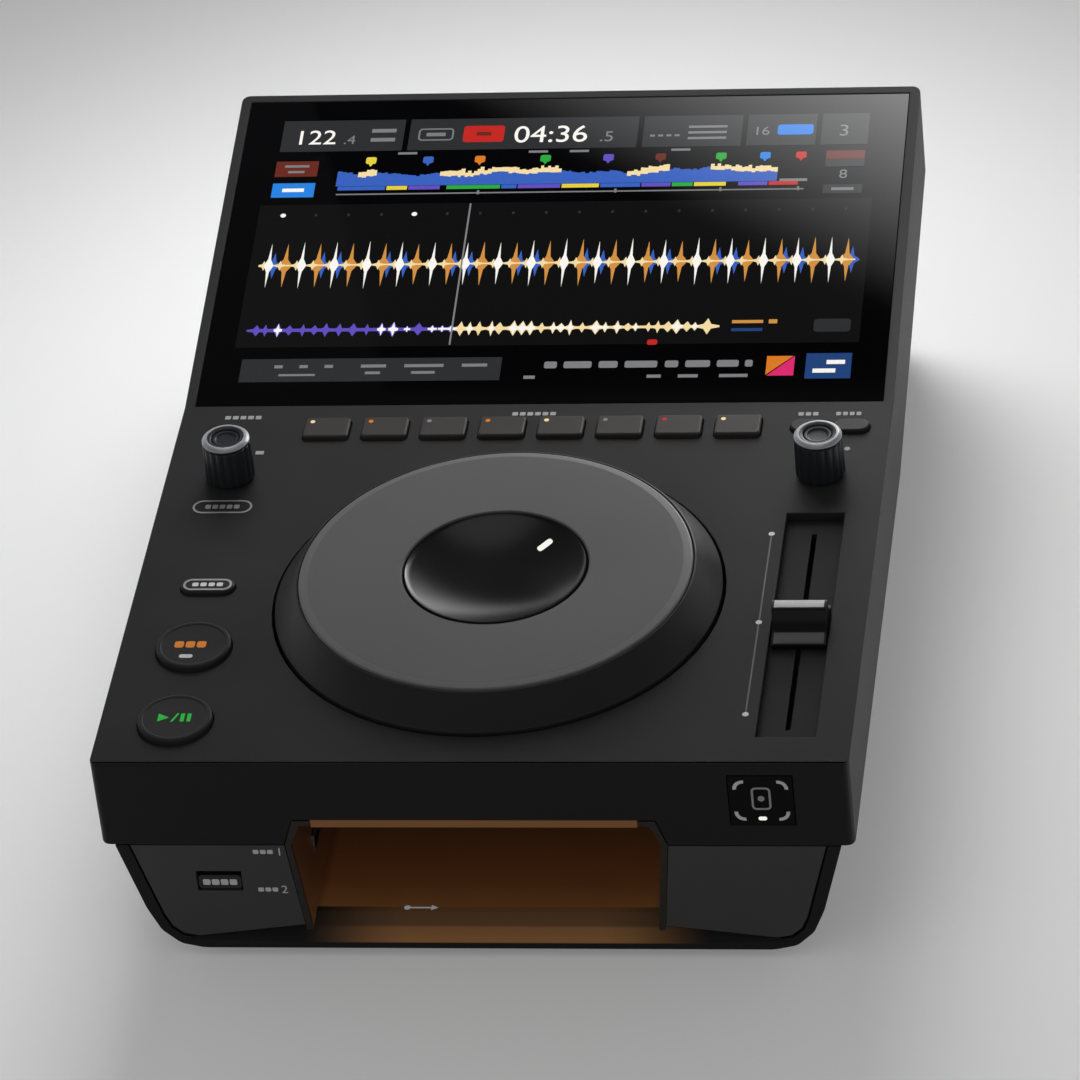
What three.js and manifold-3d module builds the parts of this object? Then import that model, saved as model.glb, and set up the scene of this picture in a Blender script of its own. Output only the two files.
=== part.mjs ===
// A tabletop player deck: a tilted screen, a large jog wheel, a tempo fader, keys and knobs,
// and a lit bay for memory sticks in the front. Millimetres, +Z up, +Y to the back.
// The origin is on the floor, under the middle of the body.
// Deck places are given from the middle of the front edge: x to the right, y to the back,
// z up from the flat deck. Screen places run up the tilted screen from its lower edge.

import * as THREE from 'three';
import { mergeVertices } from 'three/addons/utils/BufferGeometryUtils.js';
import { ConvexGeometry } from 'three/addons/geometries/ConvexGeometry.js';
import Module from 'manifold-3d';

const wasm = await Module();
wasm.setup();

// Fits shared by many pieces
const seatGap = 0.3;
const runGap = 0.35;
const overrun = 1;
const keyTravel = 1;

// Upper shell: a slab that lies flat as the deck and tilts as the screen
const deckDepth = 202;
const screenRise = 161;
const screenTilt = THREE.MathUtils.degToRad(10);
const slabThickness = 34;
const shellWall = 3;
const cornerRadius = 3;
const edgeChamfer = 1;
const flangeWidth = 7;
const rearFlangeWidth = 17;
const bossRadius = 4.5;
const pilotRadius = 1.35;
const postRadius = 2.5;

// Lower tray under the shell
const trayOverhang = 4.5;
const trayDepth = 44;
const trayTaper = 0.27;
const trayCornerHeight = 17;
const trayCornerWidth = 13;
const trayWall = 2.5;
const trayBackInset = 4.5;
const sillDepth = 9.5;
const bevelDepth = 7;
const bevelHeight = 7.5;
const bevelOuterHeight = 3.5;
const ventLength = 34;
const ventWidth = 2.6;
const ventPitch = 7;
const ventCount = 5;

// Front cheeks beside the bay
const cheekWidth = 65;
const cheekThickness = 2;
const cheekInset = 5;
const cheekSeam = 0.8;
const cheekCornerHeight = 9;
const cheekCornerWidth = 8;

// Open bay for memory sticks
const bayClearance = 3;
const bayFloorLift = 10;
const bayWaistFlare = 3.4;
const bayDepth = 78;
const bayWall = 2;
const barEnd = 6;
const barHeight = 2.9;
const barDepth = 4;
const barSetBack = 0.5;

// Memory stick sockets in the bay's left wall
const socketWidth = 14.4;
const socketHeight = 7.2;
const socketLength = 17;
const socketMouthWidth = 12.6;
const socketMouthHeight = 5.2;
const socketY = 31;
const socketRise = 1;
const socketDrop = 3;
const socketPitch = 16;

// Stop key on the left cheek
const stopKeyPitch = 17.2;
const stopKeyDrop = 15.5;
const stopKeyWidth = 14.6;
const stopKeyHeight = 5.8;
const stopKeyCorner = 1.4;
const stopWindowHeight = 8.2;
const stopKeyLength = 10;
const stopKeySetBack = 0.7;
const stopBoardWidth = 21;
const stopBoardHeight = 22;
const stopPegRadius = 2;

// Tap window on the lip
const tapInset = 29.4;
const tapDrop = 15.2;
const tapWidth = 21;
const tapHeight = 20;
const tapThickness = 1.4;

// Jog wheel and what carries it
const sideColumn = 48.4;
const wellFront = 14.4;
const wellBack = 34.4;
const wellGap = 1.1;
const wheelSkirt = 13;
const wheelRimHeight = 0.8;
const coneWidth = 9.1;
const plateHeight = 12;
const plateThickness = 2.4;
const plateChamfer = 0.9;
const wheelWall = 2.6;
const rimWall = 4.2;
const hubWall = 3.9;
const ledgeWidth = 7.8;
const webDepth = 9;
const webThickness = 3;
const dishShare = 0.467;
const dishDepth = 6.2;
const dishRim = 1.1;
const dishSkin = 1.6;
const displayThickness = 3;
const displayInset = 5;
const spindleRadius = 14;
const neckRelief = 1.2;
const bearingRadius = 22;
const bearingHeight = 7;
const bearingGroove = 0.8;
const baseMargin = 2.9;
const baseDepth = 21;
const baseThickness = 2;
const baseRimWidth = 2.2;
const sensorWidth = 12;
const sensorLength = 7;
const sensorInset = 22;

// Round buttons on the left
const roundInset = 25.5;
const playY = 22.3;
const playRadius = 12.5;
const roundPitch = 39.7;
const cueRadius = 12.7;
const roundButtonHeight = 2.1;
const roundButtonEdge = 0.6;
const buttonLip = 1;
const buttonDip = 0.3;

// Pill keys
const shiftInset = 25;
const shiftPitch = 33.8;
const shiftWidth = 18.6;
const shiftDepth = 8;
const menuRowBack = 15.4;
const tagInset = 13.4;
const menuPitch = 15;
const menuWidth = 12.4;
const menuDepth = 7;
const pillHeight = 1.5;
const pillEdge = 0.5;

// Row of keys below the screen
const padCount = 8;
const padRowMargin = 10.3;
const padRowBack = 15;
const padSpacing = 4.6;
const padDepth = 11.5;
const padCorner = 1.5;
const padHeight = 1.8;
const padEdge = 0.6;
const keyFlange = 0.9;
const keyFlangeThickness = 1;
const keyStem = 1.8;

// Rotary knobs
const leftKnobInset = 23;
const rightKnobInset = 22;
const knobBack = 42;
const knobRadius = 8.6;
const knobTopRadius = 8.3;
const knobHeight = 17;
const knobFlutes = 18;
const fluteDepth = 0.5;
const fluteShares = [[0, 0], [0.25, 0], [0.5, 1], [0.75, 1]];
const ringHeight = 2.2;
const ringWall = 3.3;
const ringChamfer = 1;
const ringLip = 0.3;
const knobLift = 0.8;
const knobDish = 1.6;
const knobDishEdge = 0.8;
const knobBore = 5;
const knobBoreDepth = 8;
const shaftRadius = 2;
const shaftReach = 8;
const bushRadius = 3.6;
const bushTop = 5;
const encoderWidth = 13;
const encoderHeight = 6.5;
const shaftClearance = 0.1;

// Tempo fader
const faderInset = 21.8;
const faderFront = 14.1;
const faderWellWidth = 19.6;
const faderWellEnd = 9.4;
const faderKnobGap = 14.5;
const slotWidth = 1.8;
const trackThickness = 1.6;
const trackMargin = 3.2;
const capSideGap = 0.7;
const capLength = 22;
const capTop = 7.9;
const capFloor = 2.3;
const capFoot = 1.2;
const capCrest = 5.6;
const capCrestDrop = 0.9;
const flankShares = [0.22, 0.08];
const leverThickness = 1;
const leverWidth = 3.4;
const leverReach = 9.5;
const faderBodyWidth = 14;
const faderBodyEnd = 11;
const faderBodyHeight = 9;
const faderBodyWall = 1.2;

// Screen
const glassRim = 4;
const glassSeat = 1.5;
const glassInset = 0.2;
const windowMargin = 9;
const windowLow = 8;
const windowTopMargin = 5;
const lcdMargin = 2.4;
const lcdThickness = 5.5;

// Circuit boards and the power supply
const boardThickness = 1.6;
const keyBoardDrop = 6.6;
const keyBoardMargin = 2.5;
const keyBoardInset = 5;
const padBoardGap = 4.5;
const padBoardBack = 12;
const mainBoardGap = 2.25;
const mainBoardFront = 22.4;
const boardSpacing = 4;
const mainBoardLift = 5;
const standoffRadius = 3.4;
const supplyWidth = 46;
const supplyLength = 120;
const supplyHeight = 30;
const supplyGap = 1.1;
const supplyBack = 60.5;

// Rear panel and its sockets
const panelInset = 4;
const panelLift = 7;
const panelDrop = 6;
const panelThickness = 1.6;
const panelMargin = 3;
const rearGapShares = [0.05, 0.11, 0.3, 0.14, 0.27, 0.13];
const inletWidth = 28;
const inletHeight = 20.5;
const inletMouthWidth = 24.2;
const inletMouthHeight = 16.4;
const inletLength = 24;
const inletDepth = 15;
const bladeLength = 9;
const bladeWidth = 4;
const bladeThickness = 2;
const bladePitch = 7;
const bladeRise = 2;
const rockerWidth = 10;
const rockerRadius = 9.2;
const rockerFace = 2.5;
const rockerDip = 0.9;
const rockerBack = 4;
const rockerTilt = THREE.MathUtils.degToRad(9);
const rockerWall = 1.4;
const rockerCaseDepth = 16;
const lanWidth = 16;
const lanHeight = 13.4;
const lanLength = 21;
const lanMouthWidth = 12;
const lanMouthHeight = 9;
const lanMouthDepth = 13;
const linkWidth = 12;
const linkHeight = 11;
const linkLength = 16;
const linkMouthWidth = 8.6;
const linkMouthHeight = 7.8;
const linkMouthDepth = 9.5;
const phonoPitch = 19;
const phonoBodyWidth = 12;
const phonoBodyHeight = 14;
const phonoBodyLength = 10;
const phonoRadius = 4.15;
const phonoReach = 6;
const phonoBore = 1.7;
const phonoBoreDepth = 8;
const phonoRise = 8;
const panelProud = 1;

// Feet and screws
const footRadius = 9;
const footHeight = 4;
const footSeat = 1;
const footInset = 47;
const footFrontY = 34;
const footBack = 38.5;
const screwFrontMargin = 6.6;
const screwFrontY = 15;
const screwRearInset = 29;
const screwBack = 17.5;
const screwHeadRadius = 3.2;
const screwHeadHeight = 2.4;
const screwRadius = 1.2;
const screwHoleRadius = 1.8;
const screwBoreRadius = 3.8;
const screwFloor = 4;
const screwLength = 15;

// Facet counts
const wheelFacets = 60;
const hubFacets = 32;
const buttonFacets = 28;
const midFacets = 16;
const smallFacets = 10;
const cornerSteps = 3;
const tightSteps = 2;
const capSteps = 5;
const dishSteps = 4;

const wellRadius = (deckDepth - wellFront - wellBack) / 2;
const halfWidth = wellRadius + sideColumn;
const bodyWidth = halfWidth * 2;
const deckHeight = slabThickness + trayDepth + footHeight;
const floorZ = -deckHeight;
const undersideZ = -slabThickness;
const trayBottomZ = undersideZ - trayDepth;
const trayHalf = halfWidth - trayOverhang;
const screenRun = screenRise * Math.cos(screenTilt);
const screenTopZ = screenRise * Math.sin(screenTilt);
const bodyDepth = deckDepth + screenRun;
const trayBackY = bodyDepth - trayBackInset;
const tiltSlope = Math.tan(screenTilt);
const bendY = deckDepth + slabThickness * Math.tan(screenTilt / 2);

const bayCeiling = baseDepth + bayClearance;
const bayFloor = slabThickness + trayDepth - bayFloorLift;
const socketUpperZ = slabThickness + socketDrop;
const stopKeyZ = slabThickness + stopKeyDrop;
const bayBottomHalf = halfWidth - cheekWidth;
const bayTopHalf = bayBottomHalf;
const bayWaistHalf = bayBottomHalf + bayWaistFlare;
const barHalf = bayTopHalf - barEnd;
const screwFrontX = bayWaistHalf + screwFrontMargin;
const stopKeyX = -screwFrontX - stopKeyPitch;
const tapX = halfWidth - tapInset;

const jogY = wellFront + wellRadius;
const wheelRadius = wellRadius - wellGap;
const plateRadius = wheelRadius - coneWidth;
const dishRadius = plateRadius * dishShare;
const displayRadius = dishRadius - displayInset;
const baseRadius = wellRadius + baseMargin;

const roundX = roundInset - halfWidth;
const cueY = playY + roundPitch;
const shiftY = cueY + shiftPitch;
const shiftX = shiftInset - halfWidth;
const tagX = halfWidth - tagInset;
const menuX = tagX - menuPitch;
const menuY = deckDepth - menuRowBack;
const padRowY = deckDepth - padRowBack;
const padRowInset = tagInset + menuPitch + menuWidth / 2 + padRowMargin;
const padPitch = (bodyWidth - padRowInset * 2 + padSpacing) / padCount;
const padWidth = padPitch - padSpacing;
const leftKnobX = leftKnobInset - halfWidth;
const rightKnobX = halfWidth - rightKnobInset;
const knobY = deckDepth - knobBack;

const faderWellLength = knobY - knobRadius - faderKnobGap - faderFront;
const capWidth = faderWellWidth - capSideGap * 2;
const slotLength = faderWellLength - faderWellEnd * 2;
const faderX = halfWidth - faderInset;
const faderY = faderFront + faderWellLength / 2;
const faderBodyLength = slotLength + faderBodyEnd * 2;

const glassHalf = halfWidth - glassRim;
const glassRise = screenRise - glassRim;
const windowHalf = glassHalf - windowMargin;
const windowHigh = glassRise - windowTopMargin;

const trayLowHalf = trayHalf - trayWall - trayTaper * trayDepth;
const supplyX = trayLowHalf - trayCornerWidth - supplyGap - supplyWidth / 2;
const supplyY = bodyDepth - supplyBack - supplyLength / 2;
const screwRearX = halfWidth - screwRearInset;
const panelHalf = screwRearX - panelInset;
const panelLowZ = trayBottomZ + panelLift;
const panelTopZ = undersideZ - panelDrop;
const inletZ = (panelLowZ + panelTopZ) / 2;
const rearWidths = [
  inletWidth,
  rockerWidth + (rockerWall + seatGap) * 2,
  lanWidth,
  linkWidth,
  phonoPitch + phonoBodyWidth,
];
const total = (list) => list.reduce((sum, value) => sum + value, 0);
const rearSpare = panelHalf * 2 - total(rearWidths);
const [inletX, rockerX, lanX, linkX, phonoX] = rearWidths.map((width, i) => {
  const passed = total(rearWidths.slice(0, i)) + rearSpare * total(rearGapShares.slice(0, i + 1));
  return panelHalf - passed - width / 2;
});
const footX = halfWidth - footInset;
const footRearY = bodyDepth - footBack;
const pilotDepth = screwLength - screwFloor;
const screwRearY = bodyDepth - screwBack;

// Colours of the finishes
function finish(color, roughness, metalness = 0) {
  return new THREE.MeshStandardMaterial({ color, roughness, metalness });
}

const deckPaint = finish(0x2b2b2c, 0.55);
const trayPlastic = finish(0x1d1d1e, 0.6);
const cheekPlastic = finish(0x29292b, 0.55);
const blackPlastic = finish(0x121213, 0.4);
const softBlack = finish(0x171718, 0.7);
const glossBlack = finish(0x050505, 0.08);
const wheelPaint = finish(0x262626, 0.5);
const platePaint = finish(0x565656, 0.45, 0.2);
const ringMetal = finish(0xc9cbcf, 0.2, 1);
const steel = finish(0x9a9c9f, 0.35, 1);
const bayPlastic = finish(0x4a2c12, 0.5);
const lightPlastic = finish(0xff9a3c, 0.4);
const keyGrey = finish(0x3a3a3b, 0.5);
const boardGreen = finish(0x14401f, 0.5);
const rubber = finish(0x0c0c0c, 0.9);

// Geometry helpers
function solidOf(geometry) {
  const bare = new THREE.BufferGeometry();
  bare.setAttribute('position', geometry.getAttribute('position').clone());
  if (geometry.index) bare.setIndex(geometry.index.clone());
  const merged = mergeVertices(bare);
  const position = merged.getAttribute('position').array;
  const index = merged.index.array;
  const corners = [];
  for (let i = 0; i < index.length; i += 3) {
    const [a, b, c] = [index[i], index[i + 1], index[i + 2]];
    if (a !== b && b !== c && c !== a) corners.push(a, b, c);
  }
  const mesh = new wasm.Mesh({
    numProp: 3,
    vertProperties: new Float32Array(position),
    triVerts: new Uint32Array(corners),
  });
  return new wasm.Manifold(mesh);
}

function geometryOf(solid) {
  const mesh = solid.getMesh();
  const geometry = new THREE.BufferGeometry();
  geometry.setAttribute('position', new THREE.BufferAttribute(new Float32Array(mesh.vertProperties), 3));
  geometry.setIndex(new THREE.BufferAttribute(new Uint32Array(mesh.triVerts), 1));
  geometry.computeVertexNormals();
  return geometry;
}

function cutAll(solid, cutters) {
  return cutters.reduce((left, cutter) => left.subtract(cutter), solid);
}

function joinAll(solids) {
  return solids.reduce((left, right) => left.add(right));
}

function outline(points) {
  return new THREE.Shape(points.map(([a, b]) => new THREE.Vector2(a, b)));
}

function roundedOutline(width, depth, radius) {
  const [w, d] = [width / 2, depth / 2];
  const r = Math.min(radius, w, d);
  const shape = new THREE.Shape();
  shape.moveTo(w - r, -d);
  shape.absarc(w - r, r - d, r, -Math.PI / 2, 0);
  shape.absarc(w - r, d - r, r, 0, Math.PI / 2);
  shape.absarc(r - w, d - r, r, Math.PI / 2, Math.PI);
  shape.absarc(r - w, r - d, r, Math.PI, Math.PI * 1.5);
  return shape;
}

function extruded(shape, depth, steps = cornerSteps) {
  return new THREE.ExtrudeGeometry(shape, { depth, bevelEnabled: false, curveSegments: steps });
}

// An outline in (x, y), swept from z0 up to z1
function upright(shape, z0, z1, steps) {
  return extruded(shape, z1 - z0, steps).translate(0, 0, z0);
}

// An outline in (x, z), swept from y0 back to y1
function frontToBack(shape, y0, y1, steps) {
  const turn = new THREE.Matrix4().makeBasis(
    new THREE.Vector3(1, 0, 0), new THREE.Vector3(0, 0, 1), new THREE.Vector3(0, -1, 0));
  return extruded(shape, y1 - y0, steps).applyMatrix4(turn).translate(0, y1, 0);
}

// An outline in (y, z), swept across from -half to half
function acrossBody(shape, half, steps) {
  const turn = new THREE.Matrix4().makeBasis(
    new THREE.Vector3(0, 1, 0), new THREE.Vector3(0, 0, 1), new THREE.Vector3(1, 0, 0));
  return extruded(shape, half * 2, steps).applyMatrix4(turn).translate(-half, 0, 0);
}

function block([x0, x1], [y0, y1], [z0, z1]) {
  const box = new THREE.BoxGeometry(x1 - x0, y1 - y0, z1 - z0);
  return box.translate((x0 + x1) / 2, (y0 + y1) / 2, (z0 + z1) / 2);
}

function rod(x, y, z0, z1, radius, facets = smallFacets) {
  const cylinder = new THREE.CylinderGeometry(radius, radius, z1 - z0, facets);
  return cylinder.rotateX(Math.PI / 2).translate(x, y, (z0 + z1) / 2);
}

// A section in (radius, z), turned about the z axis
function turned(section, facets) {
  const points = section.map(([r, z]) => new THREE.Vector2(r, z));
  if (THREE.ShapeUtils.area(points) < 0) points.reverse();
  points.push(points[0].clone());
  return new THREE.LatheGeometry(points, facets).rotateX(Math.PI / 2);
}

// Draws a swept body in towards its axis, down to the given share of its size at z1
function tapered(geometry, z0, z1, topShare) {
  const position = geometry.getAttribute('position');
  for (let i = 0; i < position.count; i += 1) {
    const scale = 1 + (topShare - 1) * (position.getZ(i) - z0) / (z1 - z0);
    position.setXY(i, position.getX(i) * scale, position.getY(i) * scale);
  }
  return geometry;
}

// A plate with rounded corners and a softened top edge; its top lies at z = 0
function keyCap(width, depth, radius, thickness, edge, steps) {
  const shape = roundedOutline(width - edge * 2, depth - edge * 2, radius - edge);
  const soft = { bevelThickness: edge, bevelSize: edge, bevelSegments: 1 };
  const settings = { depth: thickness - edge, curveSegments: steps, ...soft };
  const cap = solidOf(new THREE.ExtrudeGeometry(shape, settings).translate(0, 0, -thickness));
  const under = solidOf(block([-width, width], [-depth, depth], [-thickness - edge * 2, -thickness]));
  return cap.subtract(under);
}

function onScreen(geometry) {
  return geometry.rotateX(screenTilt).translate(0, deckDepth, 0);
}

// Groups
const player = new THREE.Group();
const deck = new THREE.Group();
deck.position.set(0, -bodyDepth / 2, deckHeight);
player.add(deck);

function addPiece(name, shape, material, parent = deck, place = [0, 0, 0]) {
  const geometry = geometryOf(shape.isBufferGeometry ? solidOf(shape) : shape);
  const mesh = new THREE.Mesh(geometry, material);
  mesh.name = name;
  mesh.position.set(...place);
  parent.add(mesh);
  return mesh;
}

// Outlines of the body
function slabProfile() {
  return outline([
    [0, undersideZ],
    [bendY, undersideZ],
    [bodyDepth, undersideZ + (bodyDepth - bendY) * tiltSlope],
    [bodyDepth, screenTopZ],
    [deckDepth, 0],
    [edgeChamfer, 0],
    [0, -edgeChamfer],
  ]);
}

function underSlab(y, drop = 0) {
  return undersideZ - drop + Math.max(0, y - bendY) * tiltSlope;
}

function trayHalfAt(drop, inset) {
  return trayHalf - inset - trayTaper * drop;
}

function trayOutline(inset, bottomInset) {
  const high = slabThickness;
  const low = trayBottomZ + bottomInset;
  const cornerX = trayHalfAt(undersideZ - low, inset);
  const startDrop = trayDepth - bottomInset - trayCornerHeight;
  const startX = trayHalfAt(startDrop, inset);
  const shape = new THREE.Shape();
  shape.moveTo(-cornerX + trayCornerWidth, low);
  shape.lineTo(cornerX - trayCornerWidth, low);
  shape.quadraticCurveTo(cornerX, low, startX, undersideZ - startDrop);
  shape.lineTo(trayHalf - inset, undersideZ);
  shape.lineTo(trayHalf - inset, high);
  shape.lineTo(-trayHalf + inset, high);
  shape.lineTo(-trayHalf + inset, undersideZ);
  shape.lineTo(-startX, undersideZ - startDrop);
  shape.quadraticCurveTo(-cornerX, low, -cornerX + trayCornerWidth, low);
  return shape;
}

function bayOutline(inset, floorInset = inset) {
  const top = -bayCeiling - inset;
  const low = -bayFloor - bayWall + floorInset;
  return outline([
    [-bayBottomHalf + inset, low],
    [bayBottomHalf - inset, low],
    [bayWaistHalf - inset, undersideZ],
    [bayTopHalf - inset, top],
    [-bayTopHalf + inset, top],
    [-bayWaistHalf + inset, undersideZ],
  ]);
}

// Outline of the right cheek; the left one is its mirror image
function cheekOutline(grow) {
  const topZ = undersideZ - seatGap + grow;
  const innerTop = bayWaistHalf + seatGap - grow;
  const innerLow = bayBottomHalf + seatGap - grow;
  const outerTop = trayHalf - cheekInset + grow;
  const lowZ = trayBottomZ + cheekInset - grow;
  const startDrop = trayDepth - cheekInset - cheekCornerHeight;
  const startX = trayHalfAt(startDrop, cheekInset) + grow;
  const cornerX = trayHalfAt(trayDepth - cheekInset, cheekInset) + grow;
  const shape = new THREE.Shape();
  shape.moveTo(innerTop, topZ);
  shape.lineTo(innerLow, -bayFloor - grow);
  shape.lineTo(cornerX - cheekCornerWidth, lowZ);
  shape.quadraticCurveTo(cornerX, lowZ, startX, undersideZ - startDrop);
  shape.lineTo(outerTop, topZ);
  return shape;
}

// Places that several pieces share
const roundButtons = [
  ['play_button', roundX, playY, playRadius],
  ['cue_button', roundX, cueY, cueRadius],
];
const pillKeys = [
  ['shift_key', shiftX, shiftY, shiftWidth, shiftDepth],
  ['menu_key', menuX, menuY, menuWidth, menuDepth],
  ['tag_key', tagX, menuY, menuWidth, menuDepth],
];
const padPlaces = Array.from({ length: padCount }, (_, i) => (i - (padCount - 1) / 2) * padPitch);
const knobPlaces = [['left', leftKnobX], ['right', rightKnobX]];
const screwPlaces = [
  [-screwFrontX, screwFrontY], [screwFrontX, screwFrontY],
  [-screwRearX, screwRearY], [screwRearX, screwRearY],
];
const footPlaces = [
  [-footX, footFrontY], [footX, footFrontY], [-footX, footRearY], [footX, footRearY],
];
const keyBoardTop = -keyBoardDrop;
const keyBoardEnds = [keyBoardInset - halfWidth, -baseRadius - keyBoardMargin];
const keyBoardRight = halfWidth - keyBoardInset;
const keyBoardFront = screwFrontY + bossRadius + seatGap;
const betweenRounds = (playY + cueY) / 2;
const keyBoardPosts = [
  [keyBoardEnds[0] + postRadius, betweenRounds],
  [keyBoardEnds[1] - postRadius, betweenRounds],
  [keyBoardEnds[0] + postRadius, padRowY],
  [menuX - (menuWidth + padRowMargin) / 2, padRowY],
];
const mainBoardBackY = trayBackY - trayWall - panelThickness - panelProud - seatGap * 2;
const mainBoardZ = trayBottomZ + trayWall + mainBoardLift;
const mainBoardTop = mainBoardZ + boardThickness;
const mainBoardXs = [
  bossRadius + trayWall / 2 + mainBoardGap - screwRearX,
  rockerX - rearWidths[1] / 2 - boardSpacing,
];
const mainBoardYs = [bayDepth + mainBoardFront, mainBoardBackY];
const mainPosts = mainBoardXs.flatMap((x, i) => mainBoardYs.map((y, j) => [
  x + (i ? -1 : 1) * standoffRadius,
  y + (j ? -1 : 1) * standoffRadius,
]));

const stopBoardY = stopKeySetBack + stopKeyLength + keyTravel + seatGap;

// Upper shell
function makeUpperShell() {
  const inside = halfWidth - shellWall;
  const slab = solidOf(acrossBody(slabProfile(), halfWidth));
  const plan = roundedOutline(bodyWidth, bodyDepth, cornerRadius);
  const planBlock = solidOf(upright(plan, floorZ, deckHeight).translate(0, bodyDepth / 2, 0));
  const body = slab.intersect(planBlock);
  const roofZ = -shellWall;
  const roofBendY = deckDepth + shellWall * Math.tan(screenTilt / 2);
  const backY = bodyDepth - shellWall;
  const roofBackZ = roofZ + (backY - roofBendY) * tiltSlope;
  const flangeZ = undersideZ + shellWall;
  const hollow = solidOf(acrossBody(outline([
    [shellWall, flangeZ],
    [bendY, flangeZ],
    [backY, flangeZ + (backY - bendY) * tiltSlope],
    [backY, roofBackZ],
    [roofBendY, roofZ],
    [shellWall, roofZ],
  ]), inside));
  const mouthHalf = halfWidth - shellWall - flangeWidth;
  const mouth = solidOf(block([-mouthHalf, mouthHalf],
    [shellWall + flangeWidth, bodyDepth - rearFlangeWidth], [undersideZ - overrun, flangeZ + overrun]));
  const rearMouth = solidOf(acrossBody(outline([
    [shellWall + flangeWidth, undersideZ - overrun],
    [bodyDepth - rearFlangeWidth, undersideZ - overrun],
    [bodyDepth - rearFlangeWidth, underSlab(bodyDepth) + shellWall],
    [bendY, flangeZ + overrun],
    [shellWall + flangeWidth, flangeZ + overrun],
  ]), mouthHalf));
  let shell = body.subtract(hollow.subtract(mouth)).subtract(mouth).subtract(rearMouth);
  shell = shell.add(shellPosts().intersect(body));
  return cutAll(shell, shellCuts());
}

function shellPosts() {
  const roof = -shellWall / 2;
  const frontBosses = screwPlaces.slice(0, 2).map(([x, y]) => (
    solidOf(rod(x, y, undersideZ, roof, bossRadius)).subtract(
      solidOf(rod(x, y, undersideZ - overrun, undersideZ + pilotDepth, pilotRadius)))));
  const rearBosses = screwPlaces.slice(2).map(([x, y]) => (
    solidOf(rod(x, y, underSlab(y) + shellWall / 2, underSlab(y) + pilotDepth + shellWall, bossRadius))));
  const boardPosts = keyBoardPosts.map(([x, y]) => (
    solidOf(rod(x, y, keyBoardTop + seatGap, roof, postRadius))));
  return joinAll([...frontBosses, ...rearBosses, ...boardPosts]);
}

function shellCuts() {
  const through = [-shellWall - overrun, overrun];
  const cuts = [solidOf(rod(0, jogY, ...through, wellRadius, wheelFacets))];
  for (const [, x, y, radius] of roundButtons) {
    cuts.push(solidOf(rod(x, y, ...through, radius + seatGap, buttonFacets)));
  }
  for (const [, x, y, width, depth] of pillKeys) {
    const hole = roundedOutline(width + seatGap * 2, depth + seatGap * 2, depth);
    cuts.push(solidOf(upright(hole, ...through).translate(x, y, 0)));
  }
  for (const x of padPlaces) {
    const hole = roundedOutline(padWidth + seatGap * 2, padDepth + seatGap * 2, padCorner + seatGap);
    cuts.push(solidOf(upright(hole, ...through, tightSteps).translate(x, padRowY, 0)));
  }
  for (const [, x] of knobPlaces) {
    cuts.push(solidOf(rod(x, knobY, ...through, bushRadius + seatGap)));
  }
  cuts.push(solidOf(block(
    [faderX - faderWellWidth / 2, faderX + faderWellWidth / 2],
    [faderY - faderWellLength / 2, faderY + faderWellLength / 2], through)));
  cuts.push(solidOf(frontToBack(bayOutline(-seatGap), -overrun, bayDepth + seatGap)));
  cuts.push(solidOf(block(
    [tapX - tapWidth / 2 - seatGap, tapX + tapWidth / 2 + seatGap],
    [-overrun, tapThickness + seatGap],
    [-tapDrop - tapHeight / 2 - seatGap, -tapDrop + tapHeight / 2 + seatGap])));
  const glassPocket = block([-glassHalf - seatGap, glassHalf + seatGap],
    [0, glassRise + seatGap], [-glassSeat - seatGap, overrun]);
  cuts.push(solidOf(onScreen(glassPocket)));
  const window = block([-windowHalf, windowHalf], [windowLow, windowHigh],
    [-shellWall - overrun, overrun]);
  cuts.push(solidOf(onScreen(window)));
  for (const [x, y] of screwPlaces.slice(2)) {
    cuts.push(solidOf(rod(x, y, underSlab(y) - overrun, underSlab(y) + pilotDepth, pilotRadius)));
  }
  return cuts;
}

// Lower tray
function makeTray() {
  const shape = trayOutline(0, 0);
  const backY = trayBackY;
  const outer = solidOf(frontToBack(shape, 0, backY));
  const frontWall = cheekThickness + seatGap + trayWall;
  const inner = solidOf(frontToBack(trayOutline(trayWall, trayWall), frontWall, backY - trayWall));
  const below = solidOf(acrossBody(outline([
    [-overrun, trayBottomZ - overrun],
    [bodyDepth, trayBottomZ - overrun],
    [bodyDepth, underSlab(bodyDepth, seatGap)],
    [bendY, undersideZ - seatGap],
    [-overrun, undersideZ - seatGap],
  ]), halfWidth));
  const sill = outer.intersect(solidOf(block([-halfWidth, halfWidth], [0, sillDepth],
    [trayBottomZ - overrun, -bayFloor])));
  let tray = outer.subtract(inner).add(sill).add(trayPosts(outer));
  tray = cutAll(tray, trayCuts());
  return tray.intersect(below);
}

function trayPosts(outer) {
  const base = trayBottomZ + trayWall / 2;
  const screwPosts = screwPlaces.map(([x, y]) => (
    solidOf(rod(x, y, base, underSlab(y) + slabThickness, bossRadius + trayWall / 2))));
  const standoffs = mainPosts.map(([x, y]) => (
    solidOf(rod(x, y, base, mainBoardZ - seatGap, standoffRadius))));
  const pegStart = cheekThickness + seatGap + trayWall / 2;
  const pegEnd = stopBoardY - seatGap;
  const pegs = [-1, 1].flatMap((side) => [-1, 1].map((end) => solidOf(
    rod(0, 0, -pegEnd, -pegStart, stopPegRadius).rotateX(Math.PI / 2).translate(
      stopKeyX + side * (stopBoardWidth / 2 - stopPegRadius), 0,
      -stopKeyZ + end * (stopBoardHeight / 2 - stopPegRadius)))));
  return joinAll([...screwPosts, ...standoffs, ...pegs]).intersect(outer);
}

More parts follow.
